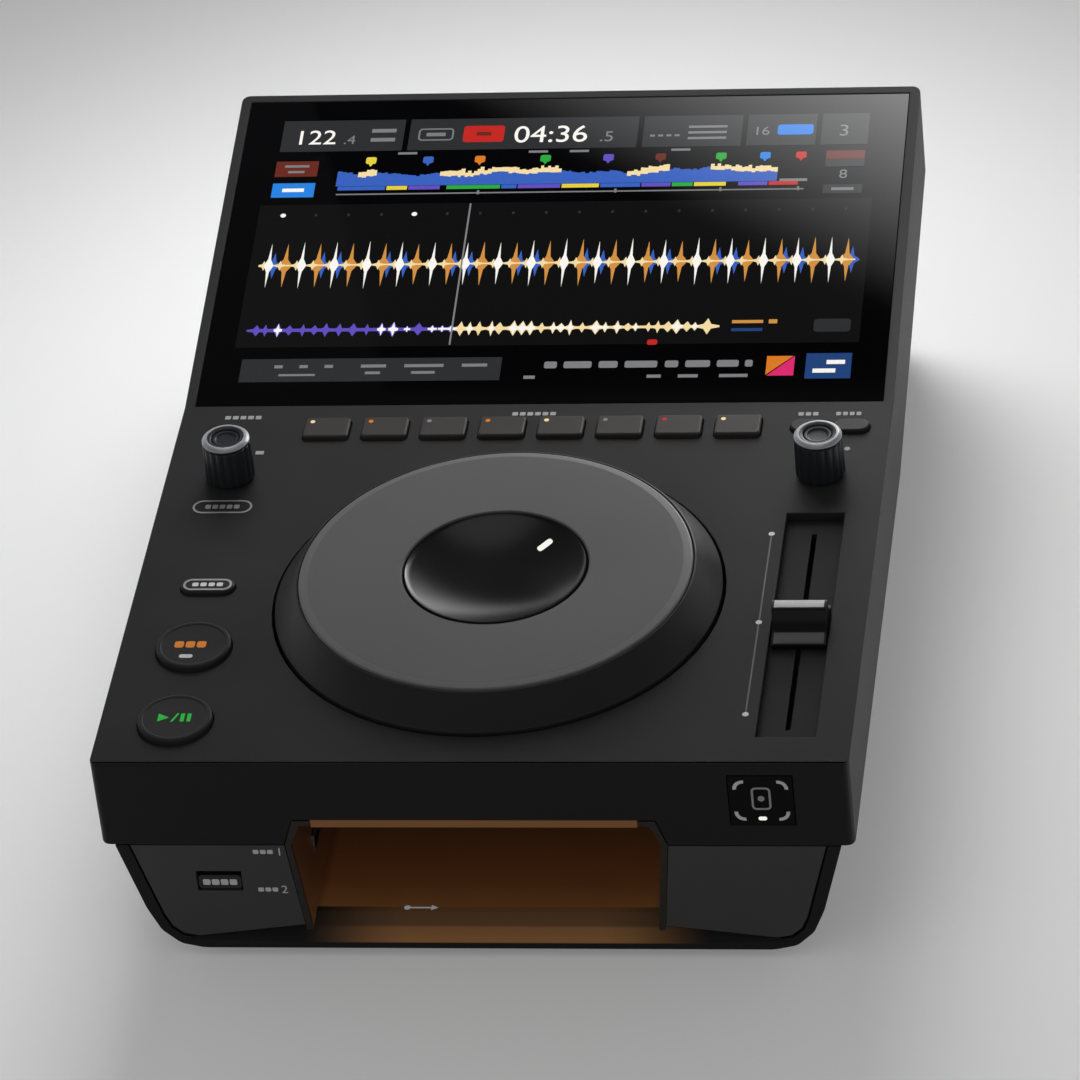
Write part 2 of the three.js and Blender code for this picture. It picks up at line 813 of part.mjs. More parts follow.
function trayCuts() {
  const cuts = [];
  const linerSpace = solidOf(frontToBack(bayOutline(-seatGap), -overrun, bayDepth + seatGap));
  const sillSpace = solidOf(block(
    [-bayBottomHalf + bayWall + seatGap, bayBottomHalf - bayWall - seatGap],
    [-overrun * 2, sillDepth], [trayBottomZ - overrun, -bayFloor]));
  cuts.push(linerSpace.subtract(sillSpace));
  const cheekSpace = solidOf(frontToBack(cheekOutline(cheekSeam), -overrun, cheekThickness + seatGap));
  cuts.push(cheekSpace, cheekSpace.mirror([1, 0, 0]));
  cuts.push(makeBevelWedge());
  const stopHole = block(
    [stopKeyX - stopKeyWidth / 2 - seatGap, stopKeyX + stopKeyWidth / 2 + seatGap],
    [-overrun, cheekThickness + trayWall * 2],
    [-stopKeyZ - stopWindowHeight / 2, -stopKeyZ + stopWindowHeight / 2]);
  cuts.push(solidOf(stopHole));
  cuts.push(solidOf(block([-panelHalf, panelHalf], [trayBackY - trayWall - overrun, trayBackY + overrun],
    [panelLowZ, panelTopZ])));
  for (const [x, y] of footPlaces) {
    cuts.push(solidOf(rod(x, y, trayBottomZ - overrun, trayBottomZ + footSeat, footRadius + seatGap,
      midFacets)));
  }
  for (const [x, y] of screwPlaces) {
    cuts.push(solidOf(rod(x, y, trayBottomZ - overrun, deckHeight, screwHoleRadius)));
    cuts.push(solidOf(rod(x, y, trayBottomZ - overrun, underSlab(y) - screwFloor, screwBoreRadius)));
  }
  for (let i = 0; i < ventCount; i += 1) {
    const y = bodyDepth / 2 + (i - (ventCount - 1) / 2) * ventPitch;
    const slot = roundedOutline(ventLength, ventWidth, ventWidth / 2);
    cuts.push(solidOf(upright(slot, trayBottomZ - overrun, trayBottomZ + trayWall + overrun, tightSteps)
      .translate(supplyX, y, 0)));
  }
  return cuts;
}

// The bevel on the tray's front edge: full height along the bay, running out to the corners
function makeBevelWedge() {
  const outerX = trayHalfAt(trayDepth, 0) - cheekInset;
  const lowZ = -bayFloor - bevelHeight;
  const outerZ = trayBottomZ + bevelOuterHeight;
  const points = [];
  for (const side of [-1, 1]) {
    points.push(
      new THREE.Vector3(side * bayBottomHalf, -overrun, lowZ),
      new THREE.Vector3(side * bayBottomHalf, 0, lowZ),
      new THREE.Vector3(side * bayBottomHalf, -overrun, -bayFloor + overrun),
      new THREE.Vector3(side * bayBottomHalf, bevelDepth, -bayFloor + overrun),
      new THREE.Vector3(side * bayBottomHalf, bevelDepth, -bayFloor),
      new THREE.Vector3(side * outerX, -overrun, outerZ),
      new THREE.Vector3(side * outerX, 0, outerZ),
    );
  }
  return solidOf(new ConvexGeometry(points));
}

// Front cheeks
function makeCheek(side) {
  let cheek = solidOf(frontToBack(cheekOutline(0), 0, cheekThickness));
  if (side < 0) {
    cheek = cheek.mirror([1, 0, 0]);
    const hole = block(
      [stopKeyX - stopKeyWidth / 2 - seatGap, stopKeyX + stopKeyWidth / 2 + seatGap],
      [-overrun, cheekThickness + overrun],
      [-stopKeyZ - stopWindowHeight / 2, -stopKeyZ + stopWindowHeight / 2]);
    cheek = cheek.subtract(solidOf(hole));
  }
  return cheek;
}

// Bay liner, its light and its sockets
function makeBay() {
  const outer = solidOf(frontToBack(bayOutline(0), 0, bayDepth));
  const inner = solidOf(frontToBack(bayOutline(bayWall), -overrun, bayDepth - bayWall));
  const sillSpace = solidOf(block(
    [-bayBottomHalf + bayWall, bayBottomHalf - bayWall],
    [-overrun, sillDepth + seatGap], [trayBottomZ, -bayFloor + overrun]));
  const barSpace = solidOf(block([-barHalf - seatGap, barHalf + seatGap],
    [-overrun, barSetBack + barDepth + seatGap], [-bayCeiling - bayWall - overrun, -bayCeiling + overrun]));
  const cuts = [inner, sillSpace, barSpace];
  for (const z of socketHeights()) {
    cuts.push(solidOf(block([-bayWaistHalf - overrun, -bayBottomHalf + bayWall * 2],
      [socketY - socketWidth / 2 - seatGap, socketY + socketWidth / 2 + seatGap],
      [z - socketHeight / 2 - seatGap, z + socketHeight / 2 + seatGap])));
  }
  return cutAll(outer, cuts);
}

function socketHeights() {
  return [-socketUpperZ, -socketUpperZ - socketPitch];
}

function makeSocket(z) {
  const mouthX = -bayBottomHalf + socketRise;
  const body = solidOf(block([mouthX - socketLength, mouthX],
    [socketY - socketWidth / 2, socketY + socketWidth / 2],
    [z - socketHeight / 2, z + socketHeight / 2]));
  const backWall = socketWidth - socketMouthWidth;
  const mouth = solidOf(block([mouthX - socketLength + backWall, mouthX + overrun],
    [socketY - socketMouthWidth / 2, socketY + socketMouthWidth / 2],
    [z - socketMouthHeight / 2, z + socketMouthHeight / 2]));
  return body.subtract(mouth);
}

function makeStopKey() {
  const half = stopKeyWidth / 2;
  const cap = roundedOutline(stopKeyWidth, stopKeyHeight, stopKeyCorner);
  const lowered = -stopKeyZ - (stopWindowHeight - stopKeyHeight) / 2 + seatGap;
  const face = solidOf(frontToBack(cap, stopKeySetBack, stopKeySetBack + stopKeyLength, tightSteps));
  const flangeY = cheekThickness + seatGap + trayWall + seatGap;
  const flange = solidOf(block([-half - keyFlange - seatGap, half + keyFlange + seatGap],
    [flangeY, flangeY + keyFlangeThickness],
    [-stopKeyHeight / 2 - keyFlange, stopKeyHeight / 2 + keyFlange]));
  return [face.add(flange), [stopKeyX, 0, lowered]];
}

function makeStopBoard() {
  return block([stopKeyX - stopBoardWidth / 2, stopKeyX + stopBoardWidth / 2],
    [stopBoardY, stopBoardY + boardThickness],
    [-stopKeyZ - stopBoardHeight / 2, -stopKeyZ + stopBoardHeight / 2]);
}

// Jog wheel assembly, about its own axis with z measured from the deck
function makeJogBase() {
  const low = -baseDepth;
  const floor = low + baseThickness;
  const bearingLow = -webDepth - webThickness - seatGap * 2;
  const rimTop = -shellWall - seatGap;
  const neck = spindleRadius + neckRelief;
  const cup = displayRadius;
  const cupFloor = plateHeight - dishDepth - dishRim - dishSkin - displayThickness - seatGap * 2;
  return turned([
    [0, low],
    [baseRadius, low],
    [baseRadius, rimTop],
    [baseRadius - baseRimWidth, rimTop],
    [baseRadius - baseRimWidth, floor],
    [neck, floor],
    [neck, bearingLow],
    [spindleRadius, bearingLow],
    [spindleRadius, cupFloor - baseThickness],
    [cup, cupFloor - baseThickness],
    [cup, cupFloor],
    [0, cupFloor],
  ], hubFacets);
}

function makeJogBearing() {
  const low = -webDepth - webThickness - seatGap;
  const inner = spindleRadius + runGap;
  const groove = bearingGroove;
  const middle = (inner + bearingRadius) / 2;
  return turned([
    [inner, low],
    [middle - groove, low],
    [middle - groove, low + groove],
    [middle + groove, low + groove],
    [middle + groove, low],
    [bearingRadius, low],
    [bearingRadius, low + bearingHeight],
    [inner, low + bearingHeight],
  ], midFacets);
}

function makeJogWheel() {
  const ledgeZ = plateHeight - plateThickness - seatGap;
  const hub = bearingRadius + seatGap;
  const webTop = -webDepth;
  const webLow = -webDepth - webThickness;
  const hubTop = webLow + bearingHeight;
  const ledge = plateRadius - ledgeWidth;
  const inside = wheelRadius - rimWall;
  return turned([
    [hub, webLow],
    [wheelRadius - wheelWall, -wheelSkirt],
    [wheelRadius, -wheelSkirt],
    [wheelRadius, wheelRimHeight],
    [plateRadius + plateChamfer, plateHeight - plateChamfer],
    [plateRadius + seatGap, plateHeight - plateChamfer],
    [plateRadius + seatGap, ledgeZ],
    [ledge, ledgeZ],
    [ledge, ledgeZ - wheelWall],
    [plateRadius - wheelWall, ledgeZ - wheelWall],
    [inside, wheelRimHeight - wheelWall],
    [inside, webTop],
    [hub + hubWall, webTop],
    [hub + hubWall, hubTop],
    [hub, hubTop],
  ], wheelFacets);
}

function makeJogPlate() {
  const inner = dishRadius + runGap;
  const low = plateHeight - plateThickness;
  return turned([
    [inner, low],
    [plateRadius, low],
    [plateRadius, plateHeight - plateChamfer],
    [plateRadius - plateChamfer, plateHeight],
    [inner + dishRim / 2, plateHeight],
    [inner, plateHeight - dishRim / 2],
  ], wheelFacets);
}

function makeDishLens() {
  const bowl = dishRadius - dishRim;
  const section = [];
  const lowest = plateHeight - dishRim / 2 - dishDepth;
  for (let i = 0; i <= dishSteps; i += 1) {
    const share = 1 - i / dishSteps;
    section.push([bowl * share, lowest + dishDepth * share * share]);
  }
  section.reverse();
  section.push([bowl, plateHeight - dishRim / 2]);
  section.push([dishRadius - dishRim / 2, plateHeight]);
  section.push([dishRadius, plateHeight - dishRim]);
  section.push([dishRadius, lowest - dishSkin]);
  section.push([0, lowest - dishSkin]);
  return turned(section.filter((point, i) => i === 0 || point[0] !== section[i - 1][0]
    || point[1] !== section[i - 1][1]), hubFacets);
}

function makeDisplay() {
  const top = plateHeight - dishRim / 2 - dishDepth - dishSkin - seatGap;
  return turned([
    [0, top - displayThickness],
    [displayRadius, top - displayThickness],
    [displayRadius, top],
    [0, top],
  ], buttonFacets);
}

function makeJogSensor() {
  const reach = wheelRadius - sensorInset - sensorLength / 2;
  const low = -baseDepth + baseThickness + seatGap;
  return block([-sensorWidth / 2, sensorWidth / 2],
    [reach - sensorLength / 2, reach + sensorLength / 2], [low, -wheelSkirt - seatGap]);
}

// Keys: each has a cap above the deck, a flange that holds it in, and a stem for its switch
const flangeTop = -shellWall - seatGap;
const flangeLow = flangeTop - keyFlangeThickness;
const stemLow = keyBoardTop + keyTravel + seatGap;

function makeRoundButton(radius) {
  const top = roundButtonHeight;
  return turned([
    [0, stemLow],
    [keyStem, stemLow],
    [keyStem, flangeLow],
    [radius + keyFlange, flangeLow],
    [radius + keyFlange, flangeTop],
    [radius, flangeTop],
    [radius, top - roundButtonEdge],
    [radius - roundButtonEdge, top],
    [radius - roundButtonEdge - buttonLip, top],
    [radius - roundButtonEdge - buttonLip, top - buttonDip],
    [0, top - buttonDip],
  ], buttonFacets);
}

function makePlateKey(width, depth, corner, height, edge, steps) {
  const cap = keyCap(width, depth, corner, height - flangeLow, edge, steps).translate([0, 0, height]);
  const half = [width / 2 + keyFlange, depth / 2 + keyFlange - corner / 2];
  const flange = solidOf(block([-half[0] + corner / 2, half[0] - corner / 2], [-half[1], half[1]],
    [flangeLow, flangeTop]));
  const stem = solidOf(rod(0, 0, stemLow, flangeTop, keyStem));
  return cap.add(flange).add(stem);
}

// Knobs: a fluted body with its shaft, a bright ring, and the encoder under the deck
function makeKnob() {
  const top = knobHeight - ringHeight;
  const points = [];
  for (let i = 0; i < knobFlutes; i += 1) {
    for (const [pitchShare, depthShare] of fluteShares) {
      const angle = (i + pitchShare) / knobFlutes * Math.PI * 2;
      const r = knobRadius - depthShare * fluteDepth;
      points.push([r * Math.cos(angle), r * Math.sin(angle)]);
    }
  }
  const skirt = solidOf(tapered(upright(outline(points), knobLift, top), knobLift, top,
    knobTopRadius / knobRadius));
  const seatRadius = knobTopRadius - ringWall - seatGap;
  const seat = solidOf(turned([
    [0, top - overrun],
    [seatRadius, top - overrun],
    [seatRadius, knobHeight - knobDishEdge],
    [0, knobHeight - knobDish],
  ], midFacets));
  const bore = solidOf(rod(0, 0, knobLift - overrun, knobLift + knobBoreDepth, knobBore));
  const shaft = solidOf(rod(0, 0, -shaftReach, knobLift + knobBoreDepth + overrun, shaftRadius));
  return skirt.add(seat).subtract(bore).add(shaft);
}

function makeKnobRing() {
  const low = knobHeight - ringHeight + seatGap;
  const wall = knobTopRadius - ringWall;
  return turned([
    [wall, low],
    [knobTopRadius, low],
    [knobTopRadius, knobHeight - ringChamfer],
    [wall + ringLip * 2, knobHeight],
    [wall, knobHeight - ringLip],
  ], buttonFacets);
}

function makeEncoder() {
  const top = -shellWall - seatGap;
  const half = encoderWidth / 2;
  const body = solidOf(block([-half, half], [-half, half], [top - encoderHeight, top]));
  const bush = solidOf(rod(0, 0, top - overrun, bushTop, bushRadius));
  const bore = solidOf(rod(0, 0, -shaftReach - seatGap, bushTop + overrun, shaftRadius + shaftClearance));
  return body.add(bush).subtract(bore);
}

// Tempo fader
function makeFaderTrack() {
  const top = -shellWall - seatGap;
  const halfX = faderWellWidth / 2 + trackMargin;
  const halfY = faderWellLength / 2 + trackMargin;
  const plate = solidOf(block([-halfX, halfX], [-halfY, halfY], [top - trackThickness, top]));
  const slot = solidOf(block([-slotWidth / 2, slotWidth / 2],
    [-slotLength / 2 - leverWidth / 2, slotLength / 2 + leverWidth / 2],
    [top - trackThickness - overrun, top + overrun]));
  return plate.subtract(slot);
}

function makeFaderBody() {
  const top = -shellWall - trackThickness - seatGap * 2;
  const halfX = faderBodyWidth / 2;
  const halfY = faderBodyLength / 2;
  const body = solidOf(block([-halfX, halfX], [-halfY, halfY], [top - faderBodyHeight, top]));
  const hollow = solidOf(block([-halfX + faderBodyWall, halfX - faderBodyWall],
    [-halfY + faderBodyWall, halfY - faderBodyWall],
    [top - faderBodyHeight + faderBodyWall, top - faderBodyWall]));
  const slot = solidOf(block([-slotWidth, slotWidth],
    [-slotLength / 2 - leverWidth / 2, slotLength / 2 + leverWidth / 2],
    [top - faderBodyWall - overrun, top + overrun]));
  return body.subtract(hollow).subtract(slot);
}

// The cap: a crest across the middle, and a hollow flank falling to a thin foot at each end
function makeFaderCap() {
  const half = capLength / 2;
  const crest = capCrest / 2;
  const footTop = capFoot - capFloor;
  const shoulder = capTop - capCrestDrop;
  const bendOut = crest + (half - crest) * flankShares[0];
  const bendUp = footTop + (shoulder - footTop) * flankShares[1];
  const shape = new THREE.Shape();
  shape.moveTo(-half, -capFloor);
  shape.lineTo(half, -capFloor);
  shape.lineTo(half, footTop);
  shape.quadraticCurveTo(bendOut, bendUp, crest, shoulder);
  shape.quadraticCurveTo(crest, capTop, 0, capTop);
  shape.quadraticCurveTo(-crest, capTop, -crest, shoulder);
  shape.quadraticCurveTo(-bendOut, bendUp, -half, footTop);
  const cap = solidOf(acrossBody(shape, capWidth / 2, capSteps));
  const top = -shellWall - trackThickness - seatGap;
  const lever = solidOf(block([-leverThickness / 2, leverThickness / 2], [-leverWidth / 2, leverWidth / 2],
    [top - leverReach + trackThickness, -capFloor + overrun / 2]));
  return cap.add(lever);
}

// Screen
function makeGlass() {
  return onScreen(block([-glassHalf, glassHalf], [seatGap, glassRise],
    [-glassSeat, -glassInset]));
}

function makeLcd() {
  const top = -shellWall - seatGap;
  return onScreen(block([-windowHalf - lcdMargin, windowHalf + lcdMargin],
    [windowLow - lcdMargin, windowHigh + lcdMargin], [top - lcdThickness, top]));
}

// Boards
function makeKeyBoard() {
  const [lowX, highX] = keyBoardEnds;
  const padLow = jogY + baseRadius + padBoardGap;
  const padHigh = padRowY + padBoardBack;
  const board = solidOf(upright(outline([
    [lowX, keyBoardFront],
    [highX, keyBoardFront],
    [highX, padLow],
    [keyBoardRight, padLow],
    [keyBoardRight, padHigh],
    [lowX, padHigh],
  ]), keyBoardTop - boardThickness, keyBoardTop));
  const room = encoderWidth / 2 + seatGap;
  const encoderHole = block([leftKnobX - room, leftKnobX + room], [knobY - room, knobY + room],
    [keyBoardTop - boardThickness - overrun, keyBoardTop + overrun]);
  return board.subtract(solidOf(encoderHole));
}

function makeMainBoard() {
  return block(mainBoardXs, mainBoardYs, [mainBoardZ, mainBoardTop]);
}

function makeSupply() {
  const low = trayBottomZ + trayWall + seatGap;
  return block([supplyX - supplyWidth / 2, supplyX + supplyWidth / 2],
    [supplyY - supplyLength / 2, supplyY + supplyLength / 2], [low, low + supplyHeight]);
}

// Rear panel: it stands behind the tray's rear window, and the sockets come through it
const panelY = trayBackY - trayWall - seatGap - panelThickness;

function makeRearPanel() {
  const plate = solidOf(block([-panelHalf - panelMargin, panelHalf + panelMargin],
    [panelY, panelY + panelThickness], [panelLowZ - panelMargin, panelTopZ + panelMargin]));
  const through = [panelY - overrun, panelY + panelThickness + overrun];
  const cuts = [
    [inletX, inletZ, inletWidth, inletHeight],
    [rockerX, inletZ, rearWidths[1], (rockerRadius + rockerWall + seatGap) * 2],
    [lanX, mainBoardTop + lanHeight / 2 + seatGap, lanWidth, lanHeight],
    [linkX, mainBoardTop + linkHeight / 2 + seatGap, linkWidth, linkHeight],
  ].map(([x, z, width, height]) => solidOf(block(
    [x - width / 2 - seatGap, x + width / 2 + seatGap], through,
    [z - height / 2 - seatGap, z + height / 2 + seatGap])));
  for (const x of [phonoX - phonoPitch / 2, phonoX + phonoPitch / 2]) {
    const hole = solidOf(rod(0, 0, -panelThickness - overrun, overrun, phonoRadius + seatGap)
      .rotateX(Math.PI / 2));
    cuts.push(hole.translate([x, panelY, mainBoardTop + seatGap + phonoRise]));
  }
  return cutAll(plate, cuts);
}

function makeInlet() {
  const frontY = panelY + panelThickness + panelProud;
  const body = solidOf(block([-inletWidth / 2, inletWidth / 2], [frontY - inletLength, frontY],
    [-inletHeight / 2, inletHeight / 2]));
  const mouth = solidOf(block([-inletMouthWidth / 2, inletMouthWidth / 2],
    [frontY - inletDepth, frontY + overrun], [-inletMouthHeight / 2, inletMouthHeight / 2]));
  const blades = [[-bladePitch, -bladeRise], [0, bladeRise], [bladePitch, -bladeRise]].map(([x, z]) => (
    solidOf(block([x - bladeThickness / 2, x + bladeThickness / 2],
      [frontY - inletDepth - overrun, frontY - inletDepth + bladeLength],
      [z - bladeWidth / 2, z + bladeWidth / 2]))));
  return body.subtract(mouth).add(joinAll(blades));
}

function makeRockerCase() {
  const frontY = panelY + panelThickness + panelProud;
  const halfX = rockerWidth / 2 + seatGap;
  const halfZ = rockerRadius + seatGap;
  const body = solidOf(block([-halfX - rockerWall, halfX + rockerWall],
    [frontY - rockerCaseDepth, frontY], [-halfZ - rockerWall, halfZ + rockerWall]));
  const hollow = solidOf(block([-halfX, halfX], [frontY - rockerCaseDepth + rockerWall, frontY + overrun],
    [-halfZ, halfZ]));
  return body.subtract(hollow);
}

function makeRocker() {
  const corner = Math.sqrt(rockerRadius * rockerRadius - rockerFace * rockerFace);
  const rear = Math.sqrt(rockerRadius * rockerRadius - rockerBack * rockerBack);
  const shape = new THREE.Shape();
  shape.moveTo(rockerFace - rockerDip, 0);
  shape.lineTo(rockerFace, corner);
  shape.absarc(0, 0, rockerRadius, Math.atan2(corner, rockerFace), Math.atan2(rear, -rockerBack), false);
  shape.lineTo(-rockerBack, -rear);
  shape.absarc(0, 0, rockerRadius, Math.atan2(-rear, -rockerBack), Math.atan2(-corner, rockerFace), false);
  return acrossBody(shape, rockerWidth / 2, cornerSteps);
}

function makeBoardSocket(width, height, length, mouthWidth, mouthHeight, mouthDepth) {
  const frontY = panelY + panelThickness + panelProud;
  const body = solidOf(block([-width / 2, width / 2], [frontY - length, frontY],
    [-height / 2, height / 2]));
  const mouth = solidOf(block([-mouthWidth / 2, mouthWidth / 2],
    [frontY - mouthDepth, frontY + overrun], [-mouthHeight / 2, mouthHeight / 2]));
  return body.subtract(mouth);
}

function makePhonoPair() {
  const frontY = panelY - seatGap;
  const half = (phonoPitch + phonoBodyWidth) / 2;
  const reach = panelThickness + seatGap + phonoReach;
  let pair = solidOf(block([-half, half], [frontY - phonoBodyLength, frontY],
    [-phonoRise, phonoBodyHeight - phonoRise]));
  for (const x of [-phonoPitch / 2, phonoPitch / 2]) {
    const barrel = rod(0, 0, -reach, overrun, phonoRadius, midFacets);
    const bore = rod(0, 0, -reach - overrun, phonoBoreDepth - reach, phonoBore);
    pair = pair.add(solidOf(barrel.rotateX(Math.PI / 2).translate(x, frontY, 0)));
    pair = pair.subtract(solidOf(bore.rotateX(Math.PI / 2).translate(x, frontY, 0)));
  }
  return pair;
}

// Feet and screws
function makeFoot() {
  return turned([
    [0, 0],
    [footRadius - footSeat, 0],
    [footRadius, footSeat],
    [footRadius, footHeight + footSeat - seatGap],
    [0, footHeight + footSeat - seatGap],
  ], midFacets);
}

function makeScrew() {
  return turned([
    [0, -screwHeadHeight],
    [screwHeadRadius, -screwHeadHeight],
    [screwHeadRadius, 0],
    [screwRadius, 0],
    [screwRadius, screwLength],
    [0, screwLength],
  ], smallFacets);
}

// Assembly
addPiece('upper_shell', makeUpperShell(), deckPaint);
addPiece('lower_tray', makeTray(), trayPlastic);
addPiece('cheek_left', makeCheek(-1), cheekPlastic);
addPiece('cheek_right', makeCheek(1), cheekPlastic);
addPiece('stick_bay', makeBay(), bayPlastic);
addPiece('bay_light', block([-barHalf, barHalf], [barSetBack, barSetBack + barDepth],
  [-bayCeiling - barHeight, -bayCeiling]), lightPlastic);
socketHeights().forEach((z, i) => addPiece(`stick_socket_${i + 1}`, makeSocket(z), steel));
const [stopKey, stopPlace] = makeStopKey();
addPiece('stop_key', stopKey, keyGrey, deck, stopPlace);
addPiece('front_board', makeStopBoard(), boardGreen);
addPiece('tap_window', block([tapX - tapWidth / 2, tapX + tapWidth / 2], [0, tapThickness],
  [-tapDrop - tapHeight / 2, -tapDrop + tapHeight / 2]), glossBlack);

const jog = new THREE.Group();
jog.position.set(0, jogY, 0);
deck.add(jog);
addPiece('jog_base', makeJogBase(), softBlack, jog);
addPiece('jog_bearing', makeJogBearing(), steel, jog);
addPiece('jog_wheel', makeJogWheel(), wheelPaint, jog);
addPiece('jog_plate', makeJogPlate(), platePaint, jog);
addPiece('jog_dish', makeDishLens(), glossBlack, jog);
addPiece('jog_display', makeDisplay(), blackPlastic, jog);
addPiece('jog_sensor', makeJogSensor(), blackPlastic, jog);

for (const [name, x, y, radius] of roundButtons) {
  addPiece(name, makeRoundButton(radius), softBlack, deck, [x, y, 0]);
}
for (const [name, x, y, width, depth] of pillKeys) {
  addPiece(name, makePlateKey(width, depth, depth / 2, pillHeight, pillEdge, cornerSteps),
    softBlack, deck, [x, y, 0]);
}
padPlaces.forEach((x, i) => {
  addPiece(`pad_key_${i + 1}`, makePlateKey(padWidth, padDepth, padCorner, padHeight, padEdge, tightSteps),
    softBlack, deck, [x, padRowY, 0]);
});
for (const [side, x] of knobPlaces) {
  addPiece(`knob_${side}`, makeKnob(), blackPlastic, deck, [x, knobY, 0]);
  addPiece(`knob_${side}_ring`, makeKnobRing(), ringMetal, deck, [x, knobY, 0]);
  addPiece(`encoder_${side}`, makeEncoder(), steel, deck, [x, knobY, 0]);
}

const fader = new THREE.Group();
fader.position.set(faderX, faderY, 0);
deck.add(fader);
addPiece('fader_track', makeFaderTrack(), softBlack, fader);
addPiece('fader_body', makeFaderBody(), steel, fader);
addPiece('fader_cap', makeFaderCap(), blackPlastic, fader);

addPiece('screen_glass', makeGlass(), glossBlack);
addPiece('screen_module', makeLcd(), blackPlastic);
addPiece('key_board', makeKeyBoard(), boardGreen);
addPiece('main_board', makeMainBoard(), boardGreen);
addPiece('power_supply', makeSupply(), steel);

addPiece('rear_panel', makeRearPanel(), trayPlastic);
addPiece('power_inlet', makeInlet(), blackPlastic, deck, [inletX, 0, inletZ]);
addPiece('power_switch_case', makeRockerCase(), blackPlastic, deck, [rockerX, 0, inletZ]);
const rocker = addPiece('power_rocker', makeRocker(), softBlack, deck,
  [rockerX, panelY + panelThickness + panelProud - rockerFace, inletZ]);
rocker.rotation.x = rockerTilt;
const socketSeat = mainBoardTop + seatGap;
addPiece('network_jack',
  makeBoardSocket(lanWidth, lanHeight, lanLength, lanMouthWidth, lanMouthHeight, lanMouthDepth),
  steel, deck, [lanX, 0, socketSeat + lanHeight / 2]);
addPiece('link_jack',
  makeBoardSocket(linkWidth, linkHeight, linkLength, linkMouthWidth, linkMouthHeight, linkMouthDepth),
  steel, deck, [linkX, 0, socketSeat + linkHeight / 2]);
addPiece('audio_jacks', makePhonoPair(), ringMetal, deck, [phonoX, 0, socketSeat + phonoRise]);

footPlaces.forEach(([x, y], i) => {
  addPiece(`foot_${i + 1}`, makeFoot(), rubber, deck, [x, y, floorZ]);
});
screwPlaces.forEach(([x, y], i) => {
  addPiece(`screw_${i + 1}`, makeScrew(), steel, deck, [x, y, underSlab(y) - screwFloor - seatGap]);
});

export default player;
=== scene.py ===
import math
import random
import bmesh
import bpy
from mathutils import Matrix, Vector
from mathutils.bvhtree import BVHTree


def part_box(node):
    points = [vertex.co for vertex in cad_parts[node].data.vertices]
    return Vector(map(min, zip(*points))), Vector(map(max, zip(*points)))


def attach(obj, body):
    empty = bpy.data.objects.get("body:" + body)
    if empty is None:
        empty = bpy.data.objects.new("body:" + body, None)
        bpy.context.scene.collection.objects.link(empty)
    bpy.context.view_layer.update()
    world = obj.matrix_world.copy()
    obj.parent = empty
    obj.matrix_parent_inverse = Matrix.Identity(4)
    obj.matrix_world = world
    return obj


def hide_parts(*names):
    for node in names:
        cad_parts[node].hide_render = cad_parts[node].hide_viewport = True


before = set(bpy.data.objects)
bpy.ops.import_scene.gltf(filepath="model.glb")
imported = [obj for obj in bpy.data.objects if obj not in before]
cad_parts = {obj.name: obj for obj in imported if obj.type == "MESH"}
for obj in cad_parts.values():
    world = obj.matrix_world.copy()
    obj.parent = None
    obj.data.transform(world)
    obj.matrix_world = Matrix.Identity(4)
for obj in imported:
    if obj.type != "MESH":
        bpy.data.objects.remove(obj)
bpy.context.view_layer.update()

# A player deck with a tilted screen, a jog wheel, a tempo fader, knobs, keys and a lit bay.
# Metres, +Z up, +Y to the back. Deck places are millimetres from the middle of the front edge.

mm = 0.001

deck = {
    "depth": 202,          # front edge to the bend below the screen
    "tilt": 10,            # degrees that the screen rises by
    "pillHeight": 1.5,
    "print": 0.05,         # how far printed marks stand off the surface
    "root": 0.05,          # how far their undersides lie in it
    "frontEdge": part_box("upper_shell")[0].y,
}
deck["top"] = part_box("shift_key")[1].z - deck["pillHeight"] * mm


def onDeck(x, y, z=0.0):
    return Vector((x * mm, y * mm + deck["frontEdge"], z * mm + deck["top"]))


def onScreen(x, up, off=0.0):
    c, s = math.cos(math.radians(deck["tilt"])), math.sin(math.radians(deck["tilt"]))
    return onDeck(x, deck["depth"] + up * c - off * s, up * s + off * c)


def onLip(x, z, off=0.0):
    return onDeck(x, -off, z)


def deckBox(node):
    # the node's lowest and highest corner, in deck millimetres
    return [(corner - onDeck(0, 0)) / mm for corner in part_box(node)]


def middleOf(node):
    low, high = deckBox(node)
    return (low.x + high.x) / 2, (low.y + high.y) / 2


def around(node):
    # places on the deck, measured from the node's middle
    x, y = middleOf(node)
    return lambda u, v, height: onDeck(x + u, y + v, height)


def reachOf(face, middle):
    # how far a face lies from an upright axis, and how high over the deck
    gap = (face.calc_center_median() - onDeck(*middle)) / mm
    return math.hypot(gap.x, gap.y), gap.z


def printSpan(height=0.0, root=deck["root"]):
    return height - root, height + deck["print"]


# Nodes: an input's value is a number, a colour or another node's output

def setInputs(node, inputs):
    for key, value in inputs.items():
        if isinstance(value, bpy.types.NodeSocket):
            node.id_data.links.new(value, node.inputs[key])
        else:
            node.inputs[key].default_value = value


def addNode(owner, kind, inputs, **settings):
    node = owner.node_tree.nodes.new("ShaderNode" + kind)
    for key, value in settings.items():
        setattr(node, key, value)
    setInputs(node, inputs)
    return node


def placeOf(owner):
    return addNode(owner, "TexCoord", {}).outputs["Object"]


def axesOf(owner, place):
    return addNode(owner, "SeparateXYZ", {0: place}).outputs


def noiseOf(owner, place, scale, detail):
    return addNode(owner, "TexNoise", {"Vector": place, "Scale": scale, "Detail": detail}).outputs["Fac"]


def mathOf(owner, operation, *values):
    return addNode(owner, "Math", dict(enumerate(values)), operation=operation).outputs[0]


